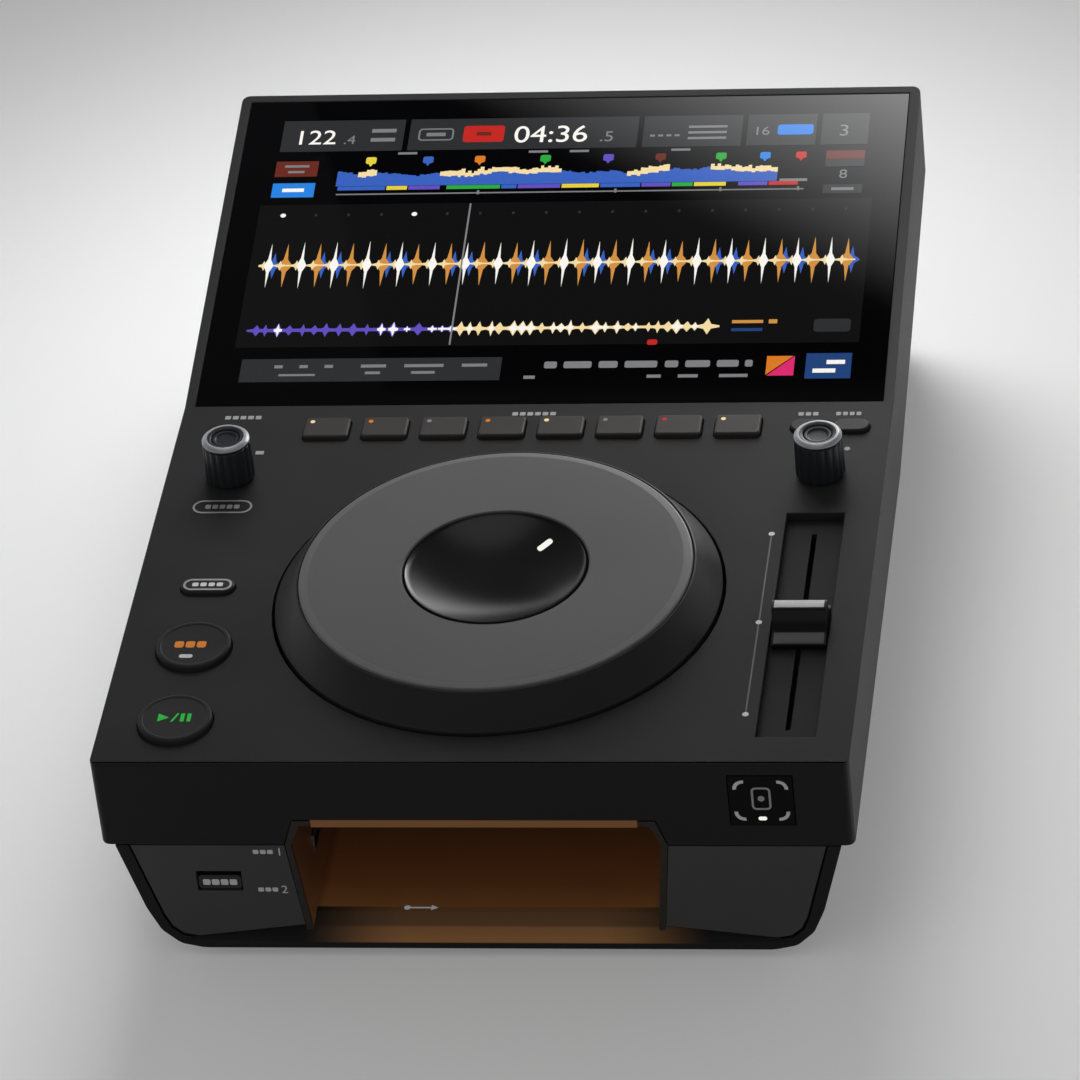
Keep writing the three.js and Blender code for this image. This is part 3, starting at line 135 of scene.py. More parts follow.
def rangeOf(owner, value, start, end, low=0.0, high=1.0, **settings):
    return addNode(owner, "MapRange", {"Value": value, "From Min": start, "From Max": end,
                                       "To Min": low, "To Max": high}, **settings).outputs["Result"]


def mixOf(owner, share, first, second):
    return addNode(owner, "Mix", {0: share, 6: first, 7: second}, data_type="RGBA").outputs[2]


def rampOf(owner, value, stops, blend="LINEAR"):
    # a stop's colour is a list, or one number for a grey
    ramp = addNode(owner, "ValToRGB", {"Fac": value})
    ramp.color_ramp.interpolation = blend
    elements = ramp.color_ramp.elements
    while len(elements) < len(stops):
        elements.new(0.5)
    for element, (position, colour) in zip(elements, stops):
        element.position = position
        element.color = (colour[:3] if isinstance(colour, list) else [colour] * 3) + [1.0]
    return ramp.outputs["Color"]


def newMaterial(name):
    material = bpy.data.materials.new(name)
    material.use_nodes = True
    return material, material.node_tree.nodes["Principled BSDF"]


# Finishes: each has a fine grain in its bump and gloss, and a slow drift in its colour

def tone(red, green, blue):
    parts = [c / 255 for c in (red, green, blue)]
    return [c / 12.92 if c <= 0.04045 else ((c + 0.055) / 1.055) ** 2.4 for c in parts] + [1.0]


def times(colour, factor):
    return [c * factor for c in colour[:3]] + [1.0]


def paint(red, green, blue, rough, grain, shine=0.35, metal=0.0, bump=0.25, drift=0.12):
    # rough: lowest and highest roughness; grain: its size in millimetres
    return {"colour": tone(red, green, blue), "rough": rough, "grain": grain, "shine": shine,
            "metal": metal, "bump": bump, "drift": drift}


def makeFinish(name, look):
    material, shader = newMaterial(name)
    place = placeOf(material)
    grain = noiseOf(material, place, 1 / (look["grain"] * mm), 3.0)
    cloud = noiseOf(material, place, 22.0, 2.0)
    bump = addNode(material, "Bump", {"Strength": look["bump"], "Distance": 0.02 * mm, "Height": grain})
    setInputs(shader, {
        "Base Color": rampOf(material, mathOf(material, "MULTIPLY_ADD", grain, 0.45, cloud),
                             [(0.45, times(look["colour"], 1 - look["drift"])),
                              (1.0, times(look["colour"], 1 + look["drift"]))]),
        "Roughness": rangeOf(material, grain, 0.3, 0.7, *look["rough"]),
        "Normal": bump.outputs["Normal"], "Metallic": look["metal"], "Specular IOR Level": look["shine"]})
    return material


def makeGlow(name, colour):
    material, shader = newMaterial(name)
    cells = noiseOf(material, placeOf(material), 900.0, 1.0)
    setInputs(shader, {"Emission Color": rampOf(material, cells, [(0.0, times(colour, 0.88)), (1.0, colour)]),
                       "Emission Strength": 1.0, "Base Color": times(colour, 0.08), "Roughness": 0.08})
    return material


finishes = {
    "deckPaint": paint(41, 41, 42, (0.38, 0.48), 0.32, 0.05),
    "sidePaint": paint(52, 52, 53, (0.45, 0.55), 0.32, 0.12),
    "trayPlastic": paint(25, 25, 26, (0.6, 0.72), 0.4, 0.12, bump=0.35),
    "cheekPlastic": paint(47, 47, 49, (0.36, 0.48), 0.3, 0.3),
    "softBlack": paint(18, 18, 18, (0.55, 0.7), 0.4, 0.2),
    "wellBlack": paint(40, 40, 40, (0.5, 0.62), 0.35, 0.03),
    "windowBlack": paint(9, 9, 9, (0.3, 0.4), 0.4, 0.06, bump=0.05),
    "buttonBlack": paint(40, 40, 40, (0.34, 0.44), 0.25, 0.12),
    "padRubber": paint(50, 48, 46, (0.4, 0.52), 0.22, 0.14, bump=0.4),
    "wheelPaint": paint(35, 35, 35, (0.34, 0.44), 0.26, 0.22),
    "plateMetal": paint(76, 76, 76, (0.38, 0.46), 0.2, 0.12, drift=0.04),
    "plateEdge": paint(84, 84, 84, (0.34, 0.42), 0.2, 0.25, drift=0.04),
    "glossBlack": paint(18, 18, 18, (0.2, 0.24), 0.5, 0.3, bump=0.02),
    "screenBlack": paint(4, 4, 5, (0.05, 0.08), 1.4, 0.45, bump=0.01),
    "brightRing": paint(158, 160, 164, (0.24, 0.34), 0.12, metal=0.45, drift=0.06),
    "knobPlastic": paint(30, 32, 38, (0.34, 0.46), 0.24, 0.4),
    "capBlack": paint(15, 15, 16, (0.34, 0.44), 0.24, 0.2),
    "linePale": paint(160, 160, 161, (0.4, 0.5), 0.3, 0.3),
    # painted highlight on the feet of the fader cap's flanks
    "footPaintedHighlight": paint(80, 80, 82, (0.3, 0.4), 0.24, 0.4),
    "platedSteel": paint(158, 160, 163, (0.24, 0.38), 0.16, metal=1.0),
    "contactGold": paint(202, 158, 74, (0.2, 0.3), 0.12, metal=1.0),
    "keyGrey": paint(26, 26, 27, (0.4, 0.5), 0.2, 0.3),
    "boardGreen": paint(18, 62, 30, (0.3, 0.5), 1.2, 0.4, drift=0.3),
    "moduleGrey": paint(48, 48, 48, (0.5, 0.65), 0.5, 0.3),
    "footRubber": paint(17, 17, 17, (0.75, 0.9), 0.3, 0.2, bump=0.6),
    "printPale": paint(186, 186, 186, (0.5, 0.6), 0.3, 0.2),
    "printGrey": paint(140, 140, 141, (0.5, 0.6), 0.3, 0.2),
    "printDim": paint(84, 84, 85, (0.5, 0.6), 0.3, 0.2),
    "phonoWhite": paint(214, 212, 206, (0.35, 0.45), 0.2, 0.4),
    "phonoRed": paint(150, 20, 18, (0.35, 0.45), 0.2, 0.4),
}
finish = {name: makeFinish(name, look) for name, look in finishes.items()}

glows = {
    "white": (246, 243, 236), "grey": (124, 124, 126), "dim": (46, 47, 49), "panel": (17, 17, 18),
    "orange": (206, 142, 66), "cream": (240, 216, 162), "blue": (56, 96, 186), "sky": (38, 128, 220),
    "violet": (96, 78, 186), "red": (190, 40, 34), "brick": (104, 42, 32), "pink": (218, 42, 110),
    "green": (44, 164, 62), "yellow": (224, 204, 60), "amber": (214, 120, 36), "barAmber": (84, 50, 14),
    "navy": (34, 66, 120), "cueAmber": (186, 112, 48),
}
glow = {name: makeGlow("glow" + name.capitalize(), tone(*colour)) for name, colour in glows.items()}
print("finishes made:", len(finish) + len(glow))


# Meshes. Where a piece has a second finish, it comes with the test for the faces that get it

def putIn(name, data):
    thing = bpy.data.objects.new(name, data)
    bpy.context.scene.collection.objects.link(thing)
    return thing


def addPiece(name, mesh, body, material, replaced=(), second=None):
    piece = putIn(name, mesh)
    mesh.materials.append(material)
    if second:
        mesh.materials.append(second[0])
    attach(piece, body)
    if replaced:
        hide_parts(*replaced)
    return piece


def meshFrom(bm, name, sharpAngle=35, second=None):
    bmesh.ops.recalc_face_normals(bm, faces=bm.faces)
    for face in bm.faces:
        face.smooth = True
        if second:
            face.material_index = int(second[1](face))
    for edge in bm.edges:
        edge.smooth = edge.is_manifold and edge.calc_face_angle() < math.radians(sharpAngle)
    mesh = bpy.data.meshes.new(name)
    bm.to_mesh(mesh)
    bm.free()
    return mesh


def softenNode(node, body, material, width, picks=None, steps=2, least=32, second=None):
    # a copy of the node's mesh with its picked edges rounded
    bm = bmesh.new()
    bm.from_mesh(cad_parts[node].data)
    bmesh.ops.remove_doubles(bm, verts=bm.verts, dist=0.001 * mm)
    bmesh.ops.dissolve_limit(bm, angle_limit=math.radians(0.5), verts=bm.verts, edges=bm.edges)
    edges = [edge for edge in bm.edges if edge.is_manifold and edge.calc_face_angle() > math.radians(least)
             and (picks is None or picks(edge))]
    bmesh.ops.bevel(bm, geom=edges, offset=width * mm, offset_type="OFFSET", segments=steps, profile=0.5,
                    affect="EDGES", clamp_overlap=False)
    name = node + "_soft"
    piece = addPiece(name, meshFrom(bm, name, 35, second), body, material, [node], second)
    flat = piece.modifiers.new("flat faces stay flat", "WEIGHTED_NORMAL")
    flat.keep_sharp = True
    flat.weight = 100
    return piece


def circlePoints(x, y, radius, count=40):
    turns = [2 * math.pi * i / count for i in range(count)]
    return [(x + radius * math.cos(a), y + radius * math.sin(a)) for a in turns]


def roundedPoints(x, y, width, height, radius, steps=6):
    points = []
    for quarter in range(4):
        sideX = 1 if quarter in (0, 3) else -1
        sideY = 1 if quarter in (0, 1) else -1
        for i in range(steps + 1):
            a = math.radians(90 * (quarter + i / steps))
            points.append((x + sideX * (width / 2 - radius) + radius * math.cos(a),
                           y + sideY * (height / 2 - radius) + radius * math.sin(a)))
    return points


def boxPoints(x, y, width, height):
    return [(x - width / 2, y - height / 2), (x + width / 2, y - height / 2),
            (x + width / 2, y + height / 2), (x - width / 2, y + height / 2)]


def outlinePair(x, y, width, height, radius, line):
    return [roundedPoints(x, y, width, height, radius),
            roundedPoints(x, y, width - line * 2, height - line * 2, max(0.1, radius - line))]


def ringPair(x, y, outer, inner, count):
    return [circlePoints(x, y, outer, count), circlePoints(x, y, inner, count)]


def evenly(middle, count, pitch):
    return [middle + (i - (count - 1) / 2) * pitch for i in range(count)]


def barRow(x, y, count, pitch, *size):
    return [roundedPoints(u, y, *size) for u in evenly(x, count, pitch)]


def addPrism(bm, points, place, low, high):
    bottom = [bm.verts.new(place(u, v, low)) for u, v in points]
    top = [bm.verts.new(place(u, v, high)) for u, v in points]
    bm.faces.new(top)
    bm.faces.new(bottom[::-1])
    for i in range(len(points)):
        j = (i + 1) % len(points)
        bm.faces.new((bottom[i], bottom[j], top[j], top[i]))


def addBand(bm, outer, inner, place, low, high):
    rings = [[bm.verts.new(place(u, v, h)) for u, v in points]
             for points, h in ((outer, low), (outer, high), (inner, high), (inner, low))]
    for i in range(len(outer)):
        j = (i + 1) % len(outer)
        for k in range(4):
            a, b = rings[k], rings[(k + 1) % 4]
            bm.faces.new((a[i], a[j], b[j], b[i]))


def flatPiece(name, shapes, place, span, body, material):
    # a printed or lit mark; shapes: outlines, or pairs of an outer and an inner outline
    # span: heights of its underside and top
    bm = bmesh.new()
    for shape in shapes:
        if isinstance(shape[0], list):
            addBand(bm, *shape, place, *span)
        else:
            addPrism(bm, shape, place, *span)
    return addPiece(name, meshFrom(bm, name), body, material)


def eased(profile, radius):
    # rounds each corner of a closed profile with a short curve of five points
    points = []
    for i, corner in enumerate(profile):
        here = Vector(corner)
        if here.x < 0.001:
            points.append(tuple(here))
            continue
        before, after = Vector(profile[i - 1]), Vector(profile[(i + 1) % len(profile)])
        reach = min(radius, (before - here).length * 0.45, (after - here).length * 0.45)
        start = here + (before - here).normalized() * reach
        end = here + (after - here).normalized() * reach
        for t in (0.0, 0.25, 0.5, 0.75, 1.0):
            points.append(tuple(start * (1 - t) ** 2 + here * 2 * t * (1 - t) + end * t * t))
    return points


def addTurned(bm, profile, x, y, place, count, spread=None):
    # profile: (radius, height) in millimetres; ends that aren't on the axis are joined
    rings = []
    for radius, height in profile:
        if radius < 0.001:
            rings.append([bm.verts.new(place(x, y, height))])
            continue
        ring = circlePoints(0, 0, radius, count)
        if spread:
            ring = [(u * spread(i), v * spread(i)) for i, (u, v) in enumerate(ring)]
        rings.append([bm.verts.new(place(x + u, y + v, height)) for u, v in ring])
    pairs = list(zip(rings, rings[1:]))
    if len(rings[0]) > 1 and len(rings[-1]) > 1:
        pairs.append((rings[-1], rings[0]))
    for a, b in pairs:
        for i in range(count):
            j = (i + 1) % count
            corners = [a[i % len(a)], a[j % len(a)], b[j % len(b)], b[i % len(b)]]
            corners = [v for k, v in enumerate(corners) if v not in corners[:k]]
            if len(corners) > 2:
                bm.faces.new(corners)


def turnedPiece(name, profile, middle, body, material, replaced, count=128, second=None):
    bm = bmesh.new()
    addTurned(bm, profile, *middle, onDeck, count)
    return addPiece(name, meshFrom(bm, name, 28, second), body, material, replaced, second)


def numberPiece(name, text, x, y, size, place, span, body, material):
    curve = bpy.data.curves.new(name, "FONT")
    curve.body = text
    curve.size = size
    curve.extrude = 0.5
    writer = bpy.data.objects.new(name + "_writer", curve)
    mesh = bpy.data.meshes.new_from_object(writer)
    low, high = span
    for vertex in mesh.vertices:
        u, v, w = vertex.co
        vertex.co = place(x + u, y + v, low + (w + 0.5) * (high - low))
    mesh.name = name
    bpy.data.objects.remove(writer)
    return addPiece(name, mesh, body, material)


def projectOn(node, place, toward):
    # a place function: each point goes along toward until it meets the node
    bm = bmesh.new()
    bm.from_mesh(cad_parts[node].data)
    tree = BVHTree.FromBMesh(bm)
    bm.free()

    def placed(u, v, height):
        hit, normal = tree.ray_cast(place(u, v), Vector(toward))[:2]
        return hit + normal * height * mm

    return placed


def dress(node, material):
    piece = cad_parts[node]
    piece.data.materials.clear()
    piece.data.materials.append(material)


# Housing: the painted shell, the tray under it and the two front cheeks

housing = {
    "edge": 0.4,          # rounding of the shell's visible edges
    "edgeDepth": 1.6,     # how far below the top such edges reach
    "cheekEdge": 0.3,
    "sideX": 120,         # beyond this the shell's edges lie on its outside
    "lipY": 1.5,
    "outside": 124,       # the shell's sides lie beyond this
    "lip": tone(32, 32, 32), "lipFade": (0.2, 0.6),
    "sunk": 0.08,         # cheeks and tap window lie this far back: their marks end level with the lip
    "trayRound": 1.3,     # rounding of the long creases on the tray's lower corners
    "creases": (6, 50), "creaseLength": 200,
    # sill keys: painted light, an amber glow on the tray's bevel below the bay
    "sillGlow": tone(92, 62, 33), "sillX": 6, "sillFade": (70, 30), "sill": (6.2, 14), "sillDepth": (14, 11),
    "sillStops": [(0.0, 0.0), (0.06, 1.0), (0.5, 0.8), (0.58, 0.4), (1.0, 0.34)],    # foot to bay floor
}


def isShellEdge(edge):
    point = (edge.verts[0].co + edge.verts[1].co) / 2
    y, z = (point.y - deck["frontEdge"]) / mm, (point.z - deck["top"]) / mm
    risen = max(0.0, (y - deck["depth"]) * math.tan(math.radians(deck["tilt"])))
    return z > risen - housing["edgeDepth"] or abs(point.x) > housing["sideX"] * mm or y < housing["lipY"]


def isTrayCrease(edge):
    along = edge.verts[1].co - edge.verts[0].co
    low, high = housing["creases"]
    return (along.length > housing["creaseLength"] * mm and abs(along.y) > 0.99 * along.length
            and low < math.degrees(edge.calc_face_angle()) < high)


def isShellSide(face):
    return abs(face.normal.x) > 0.7 and abs(face.calc_center_median().x) > housing["outside"] * mm


def makeShellPaint():
    # the lip's front face is darker than the deck
    material = makeFinish("shellPaint", finishes["deckPaint"])
    shader = material.node_tree.nodes["Principled BSDF"]
    start, end = [deck["frontEdge"] + y * mm for y in housing["lipFade"]]
    front = rangeOf(material, axesOf(material, placeOf(material))["Y"], start, end)
    deckColour = shader.inputs["Base Color"].links[0].from_socket
    setInputs(shader, {"Base Color": mixOf(material, front, housing["lip"], deckColour)})
    return material


def makeTrayPaint():
    # painted light: the bevel below the bay glows in an amber strip, in place of the bay's light falling on
    # it
    material = makeFinish("trayPaintWithPaintedLight", finishes["trayPlastic"])
    axes = axesOf(material, placeOf(material))
    across = mathOf(material, "ABSOLUTE", mathOf(material, "SUBTRACT", axes["X"], housing["sillX"] * mm))
    fade = rangeOf(material, across, *[x * mm for x in housing["sillFade"]], interpolation_type="SMOOTHSTEP")
    rise = rangeOf(material, axes["Z"], *[z * mm for z in housing["sill"]])
    front = rangeOf(material, axes["Y"], *[deck["frontEdge"] + y * mm for y in housing["sillDepth"]])
    strip = mathOf(material, "MULTIPLY", fade, rampOf(material, rise, housing["sillStops"]))
    amount = mathOf(material, "MULTIPLY", strip, front)
    setInputs(material.node_tree.nodes["Principled BSDF"], {
        "Emission Color": mixOf(material, amount, (0, 0, 0, 1), housing["sillGlow"]),
        "Emission Strength": 1.0})
    return material


softenNode("upper_shell", "body", makeShellPaint(), housing["edge"], isShellEdge,
           second=(finish["sidePaint"], isShellSide))
softenNode("lower_tray", "body", makeTrayPaint(), housing["trayRound"], isTrayCrease, 4, 6)
back = Matrix.Translation((0, housing["sunk"] * mm, 0))
for side in ("left", "right"):
    cheek = softenNode(f"cheek_{side}", "body", finish["cheekPlastic"], housing["cheekEdge"])
    cheek.data.transform(back)
sunkPrint = (-housing["sunk"] - deck["root"], 0.0)
print("housing done")

# Bay for memory sticks, with an amber light bar at its ceiling; its inside is painted with amber light,
# brightest near the mouth

bay = {
    # mouth, middle and deep: colours of the painted amber light inside the bay; the walls get only a share of
    # it
    "mouth": tone(70, 44, 21), "middle": tone(50, 26, 11), "deep": tone(22, 11, 4), "base": tone(26, 20, 16),
    "depth": (2, 66), "rise": (14, 60), "floor": -68,
    "rim": (0.5, 1.6),    # the painted light leaves the front rim dark this far in
    "walls": (55, 59), "wallShare": 0.45,
    "mark": (-23, 9, 8.5), "markLine": 0.7, "markDot": 1.1, "markArrow": (0.4, 2, 1.3),
    "stopMark": (4, 3.0, 2.5, 2.4, 0.5),    # bars: count, pitch, width, height and corner
    "rayStart": -40, "number": (-66.8, 1.5, 4.6),    # place across, drop and size
    "socketMark": (-71.2, 3, 2.4, 1.9, 1.7, 0.4),
}


def makeBayFinish():
    # painted light: an amber glow in the surface stands in for the light bar's light, brightest near the
    # mouth, weaker on the walls and dark at the front rim
    material, shader = newMaterial("bayPaintedLight")
    place = placeOf(material)
    axes = axesOf(material, place)
    back = rangeOf(material, axes["Y"], *[deck["frontEdge"] + y * mm for y in bay["depth"]])
    rise = rangeOf(material, axes["Z"], *[z * mm for z in bay["rise"]], 0.0, 0.5)
    rim = rangeOf(material, axes["Y"], *[deck["frontEdge"] + y * mm for y in bay["rim"]])
    walls = rangeOf(material, mathOf(material, "ABSOLUTE", axes["X"]), *[x * mm for x in bay["walls"]],
                    1.0, bay["wallShare"])
    jitter = mathOf(material, "MULTIPLY_ADD", noiseOf(material, place, 60.0, 4.0), 0.12, back)
    setInputs(shader, {
        "Emission Color": rampOf(material, mathOf(material, "ADD", jitter, rise),
                                 [(0.06, bay["mouth"]), (0.4, bay["middle"]), (1.0, bay["deep"])]),
        "Emission Strength": mathOf(material, "MULTIPLY", walls, rim),
        "Base Color": bay["base"], "Roughness": 0.45, "Specular IOR Level": 0.25})
    return material


dress("stick_bay", makeBayFinish())
dress("bay_light", glow["barAmber"])
dress("front_board", finish["boardGreen"])
softenNode("stop_key", "stop", finish["keyGrey"], 0.25)
low, high = deckBox("stop_key")
flatPiece("stop_key_mark", barRow((low.x + high.x) / 2, (low.z + high.z) / 2, *bay["stopMark"]), onLip,
          printSpan(-low.y, 0.1), "stop", finish["printPale"])
# the floor mark is a grey glow: painted light, a print shown as lit by the bay's light bar
x, y, wide = bay["mark"]
start, tip, half = x + wide / 2 - bay["markArrow"][0], x + wide / 2 + bay["markArrow"][1], bay["markArrow"][2]
arrow = [boxPoints(x, y, wide, bay["markLine"]), circlePoints(x - wide / 2, y, bay["markDot"], 16),
         [(start, y - half), (tip, y), (start, y + half)]]
flatPiece("bay_mark", arrow, onDeck, printSpan(bay["floor"]), "body", glow["grey"])
onCheek = projectOn("cheek_left", lambda u, v: onDeck(u, bay["rayStart"], v), (0, 1, 0))
for i in (1, 2):
    dress(f"stick_socket_{i}", finish["platedSteel"])
    low, high = deckBox(f"stick_socket_{i}")
    z = (low.z + high.z) / 2
    x, drop, size = bay["number"]
    numberPiece(f"socket_number_{i}", str(i), x, z - drop, size, onCheek, sunkPrint, "body",
                finish["printPale"])
    x, *bars = bay["socketMark"]
    flatPiece(f"socket_mark_{i}", barRow(x, z, *bars), onCheek, sunkPrint, "body", finish["printPale"])
print("bay done")

# Tap window on the lip, with a generic outline between four corner brackets

tap = {
    "x": 95.6, "z": -15.2, "width": 18.2, "height": 16.6, "corner": 3.4, "line": 1.2,
    "glyph": (6.4, 9.2, 1.6, 0.7), "glyphUp": 0.8, "dot": (2.2, 2.2, 1.05),
    "light": (2.8, 1.5, 0.7), "lightUp": -7.4,
}


def bracketPoints(turn):
    # one corner of the window's frame, as a bent strip
    signX, signZ = ((1, 1), (-1, 1), (-1, -1), (1, -1))[turn]
    x = tap["x"] + signX * (tap["width"] / 2 - tap["corner"])
    z = tap["z"] + signZ * (tap["height"] / 2 - tap["corner"])
    angles = [math.radians(90 * turn + a) for a in (-6, 14, 35, 55, 76, 96)]
    outer, inner = [[(x + radius * math.cos(a), z + radius * math.sin(a)) for a in angles]
                    for radius in (tap["corner"], tap["corner"] - tap["line"])]
    return outer + inner[::-1]


window = softenNode("tap_window", "body", finish["windowBlack"], 0.15)
window.data.transform(back)
x, z = tap["x"], tap["z"] + tap["glyphUp"]
for name, shapes, material in (
        ("tap_brackets", [bracketPoints(turn) for turn in range(4)], finish["printPale"]),
        ("tap_outline", [outlinePair(x, z, *tap["glyph"]), roundedPoints(x, z, *tap["dot"])],
         finish["printGrey"]),
        ("tap_light", [roundedPoints(x, tap["z"] + tap["lightUp"], *tap["light"])], glow["white"])):
    flatPiece(name, shapes, onLip, sunkPrint, "body", material)
print("tap window done")

# Jog wheel: a cone with a flat plate on top, round a dished glass centre that stands still

jog = {
    "wheel": 75.5, "skirt": -13, "rim": 0.8, "plate": 66.4, "height": 12, "thickness": 2.4, "chamfer": 0.9,
    "slope": (3.4, 0.4), "gap": 0.3, "inner": 60,
    "dish": 31.01, "dishGap": 0.35, "dishDepth": 6.2, "dishRim": 1.1, "dishSteps": 24, "skin": 1.6,
    "marker": (14.6, 16.6, 5.6, 2.5, 38),    # place from the middle, length, width and turn
}
jogMiddle = middleOf("jog_wheel")


def isPlateEdge(face):
    return reachOf(face, jogMiddle)[0] > jog["plate"] - jog["slope"][0] + 0.3


def makeJog():
    high, wheel, plate, rim = jog["height"], jog["wheel"], jog["plate"], jog["dishRim"]
    low = high - jog["thickness"]
    ledge = low - jog["gap"]
    shoulder = high - jog["chamfer"]
    turnedPiece("jog_cone", eased([
        (wheel - 2.6, jog["skirt"]), (wheel, jog["skirt"]), (wheel, jog["rim"]),
        (plate + jog["chamfer"], shoulder), (plate + jog["gap"], shoulder), (plate + jog["gap"], ledge),
        (jog["inner"], ledge), (jog["inner"], ledge - 3), (wheel - 4.2, -1.8),
    ], 0.25), jogMiddle, "jog", finish["wheelPaint"], ["jog_wheel"])
    inside = jog["dish"] + jog["dishGap"]
    slopeWide, slopeDown = jog["slope"]
    turnedPiece("jog_top", eased([
        (inside, low), (plate, low), (plate, shoulder), (plate - 0.6, high - slopeDown),
        (plate - slopeWide, high), (inside + rim / 2, high), (inside, high - rim / 2),
    ], 0.2), jogMiddle, "jog", finish["plateMetal"], ["jog_plate"], 192,
        (finish["plateEdge"], isPlateEdge))
    bowl, steps = jog["dish"] - rim, jog["dishSteps"]
    lowest = high - rim / 2 - jog["dishDepth"]
    profile = [(bowl * i / steps, lowest + jog["dishDepth"] * (i / steps) ** 2) for i in range(steps + 1)]
    profile += [(jog["dish"] - rim / 2, high), (jog["dish"], high - rim), (jog["dish"], lowest - jog["skin"]),
                (0, lowest - jog["skin"])]
    turnedPiece("jog_bowl", profile, jogMiddle, "body", finish["glossBlack"], ["jog_dish"])
    offX, offY, length, wide, turn = jog["marker"]
    c, s = math.cos(math.radians(turn)), math.sin(math.radians(turn))

    def onBowl(u, v, h):
        x, y = offX + u * c - v * s, offY + u * s + v * c
        return onDeck(jogMiddle[0] + x, jogMiddle[1] + y,
                      lowest + jog["dishDepth"] * (x * x + y * y) / bowl ** 2 + h)

    flatPiece("jog_marker", [roundedPoints(0, 0, length, wide, 0.9)], onBowl, (-0.2, 0.08), "body",
              glow["white"])
    for node in ("jog_base", "jog_display", "jog_sensor"):
        dress(node, finish["softBlack"])
    dress("jog_bearing", finish["platedSteel"])


makeJog()
print("jog wheel done")

# Round buttons with lit signs

rounds = {
    "height": 2.1, "edge": 0.6, "lip": 1.0, "dip": 0.3, "foot": -5.3, "play": 12.5, "cue": 12.7,
    "playSign": [[(-5.6, -2.1), (-1.9, 0), (-5.6, 2.1)], [(-1.2, -2.2), (-0.5, -2.2), (1.3, 2.2), (0.6, 2.2)],
                 boxPoints(2.6, 0, 1.3, 4.2), boxPoints(4.8, 0, 1.3, 4.2)],
    "cueSign": barRow(-1, 0, 3, 3.8, 3.1, 3.4, 0.8), "cueMark": roundedPoints(-1.6, -6.4, 4.6, 1.9, 0.9),
}


def makeRound(body, *signs):
    node = body + "_button"
    radius, high, edge = rounds[body], rounds["height"], rounds["edge"]
    floor = high - rounds["dip"]
    rim = radius - edge - rounds["lip"]
    turnedPiece(node + "_cap", eased([
        (0, rounds["foot"]), (radius, rounds["foot"]), (radius, high - edge), (radius - edge, high),
        (rim, high), (rim - rounds["dip"], floor), (0, floor),
    ], 0.3), middleOf(node), body, finish["buttonBlack"], [node], 96)
    for name, shapes, material in signs:
        flatPiece(name, shapes, around(node), printSpan(floor), body, material)


makeRound("play", ("play_sign", rounds["playSign"], glow["green"]))
makeRound("cue", ("cue_sign", rounds["cueSign"], glow["cueAmber"]),
          ("cue_mark", [rounds["cueMark"]], finish["printPale"]))

# Pill keys and pads

pills = {"inset": 0.9, "line": 0.8, "mark": (4, 2.8, 2.1, 2.0, 0.5)}
for name, body in (("shift_key", "shift"), ("menu_key", "menu"), ("tag_key", "tag")):
    softenNode(name, body, finish["buttonBlack"], 0.2)
low, high = deckBox("shift_key")
wide, deep = high.x - low.x - pills["inset"] * 2, high.y - low.y - pills["inset"] * 2
for name, shapes, material in (
        ("shift_rim", [outlinePair(0, 0, wide, deep, deep / 2 - 0.05, pills["line"])], finish["printGrey"]),
        ("shift_mark", barRow(0, 0, *pills["mark"]), finish["printPale"])):
    flatPiece(name, shapes, around("shift_key"), printSpan(deck["pillHeight"]), "shift", material)

pads = {
    "height": 1.8, "light": (-5.2, 2.9, 0.85, 20),    # place from the middle, radius and count of sides
    "tints": ("cream", "amber", "grey", "amber", "cream", "grey", "red", "cream"),
}
for i, tint in enumerate(pads["tints"], 1):
    node = f"pad_key_{i}"
    softenNode(node, f"pad_{i}", finish["padRubber"], 0.25)
    flatPiece(f"pad_light_{i}", [circlePoints(*pads["light"])], around(node), printSpan(pads["height"]),
              f"pad_{i}", glow[tint])
print("keys done")

# Prints on the deck: short bars beside the controls, a pill outline and the tempo scale

prints = {
    "bars": ((-103, 195.2, 13.6), (-94, 174.1, 3.6), (-0.2, 196.2, 16), (95.9, 194.9, 7.6),
             (109.9, 194.9, 9.4)),
    "barPitch": 2.6, "barGap": 0.7, "barDepth": 2.0, "dot": (111, 174.1, 1.0, 20),
    "pill": (-102.3, 142.4), "pillSize": (20.8, 7.4, 3.7, 0.7), "pillBars": (5, 2.5, 1.9, 2.2, 0.4),
    "scale": (89.2, 26, 125, 0.5), "scaleDots": (26, 75.6, 125), "scaleDot": (1.05, 24),
}
legends = []
for x, y, wide in prints["bars"]:
    count = max(1, round(wide / prints["barPitch"]))
    legends += barRow(x, y, count, wide / count, wide / count - prints["barGap"], prints["barDepth"], 0.3)
legends.append(circlePoints(*prints["dot"]))
pill = [outlinePair(*prints["pill"], *prints["pillSize"])] + barRow(*prints["pill"], *prints["pillBars"])
x, start, end, thin = prints["scale"]
for name, shapes, material in (
        ("deck_prints", legends, "printGrey"), ("pill_print", pill, "printGrey"),
        ("scale_line", [boxPoints(x, (start + end) / 2, thin, end - start)], "printDim")):
    flatPiece(name, shapes, onDeck, printSpan(), "body", finish[material])
flatPiece("scale_dots", [circlePoints(x, y, *prints["scaleDot"]) for y in prints["scaleDots"]], onDeck,
          (-deck["root"], deck["print"] * 2), "body", finish["printPale"])
print("prints done")

# Knobs: a fluted body that narrows a little, with a bright ring round a sunk top

knob = {
    "radius": 8.6, "top": 8.3, "lift": 0.8, "height": 17, "ringHeight": 2.2, "ringWall": 3.3,
    "ringChamfer": 0.9, "flutes": 18, "fluteDepth": 0.5, "bright": 1.9, "sunk": 1.4, "gap": 0.3,
    "count": 144, "coreCount": 72,    # sides of the body and of its sunk top
}


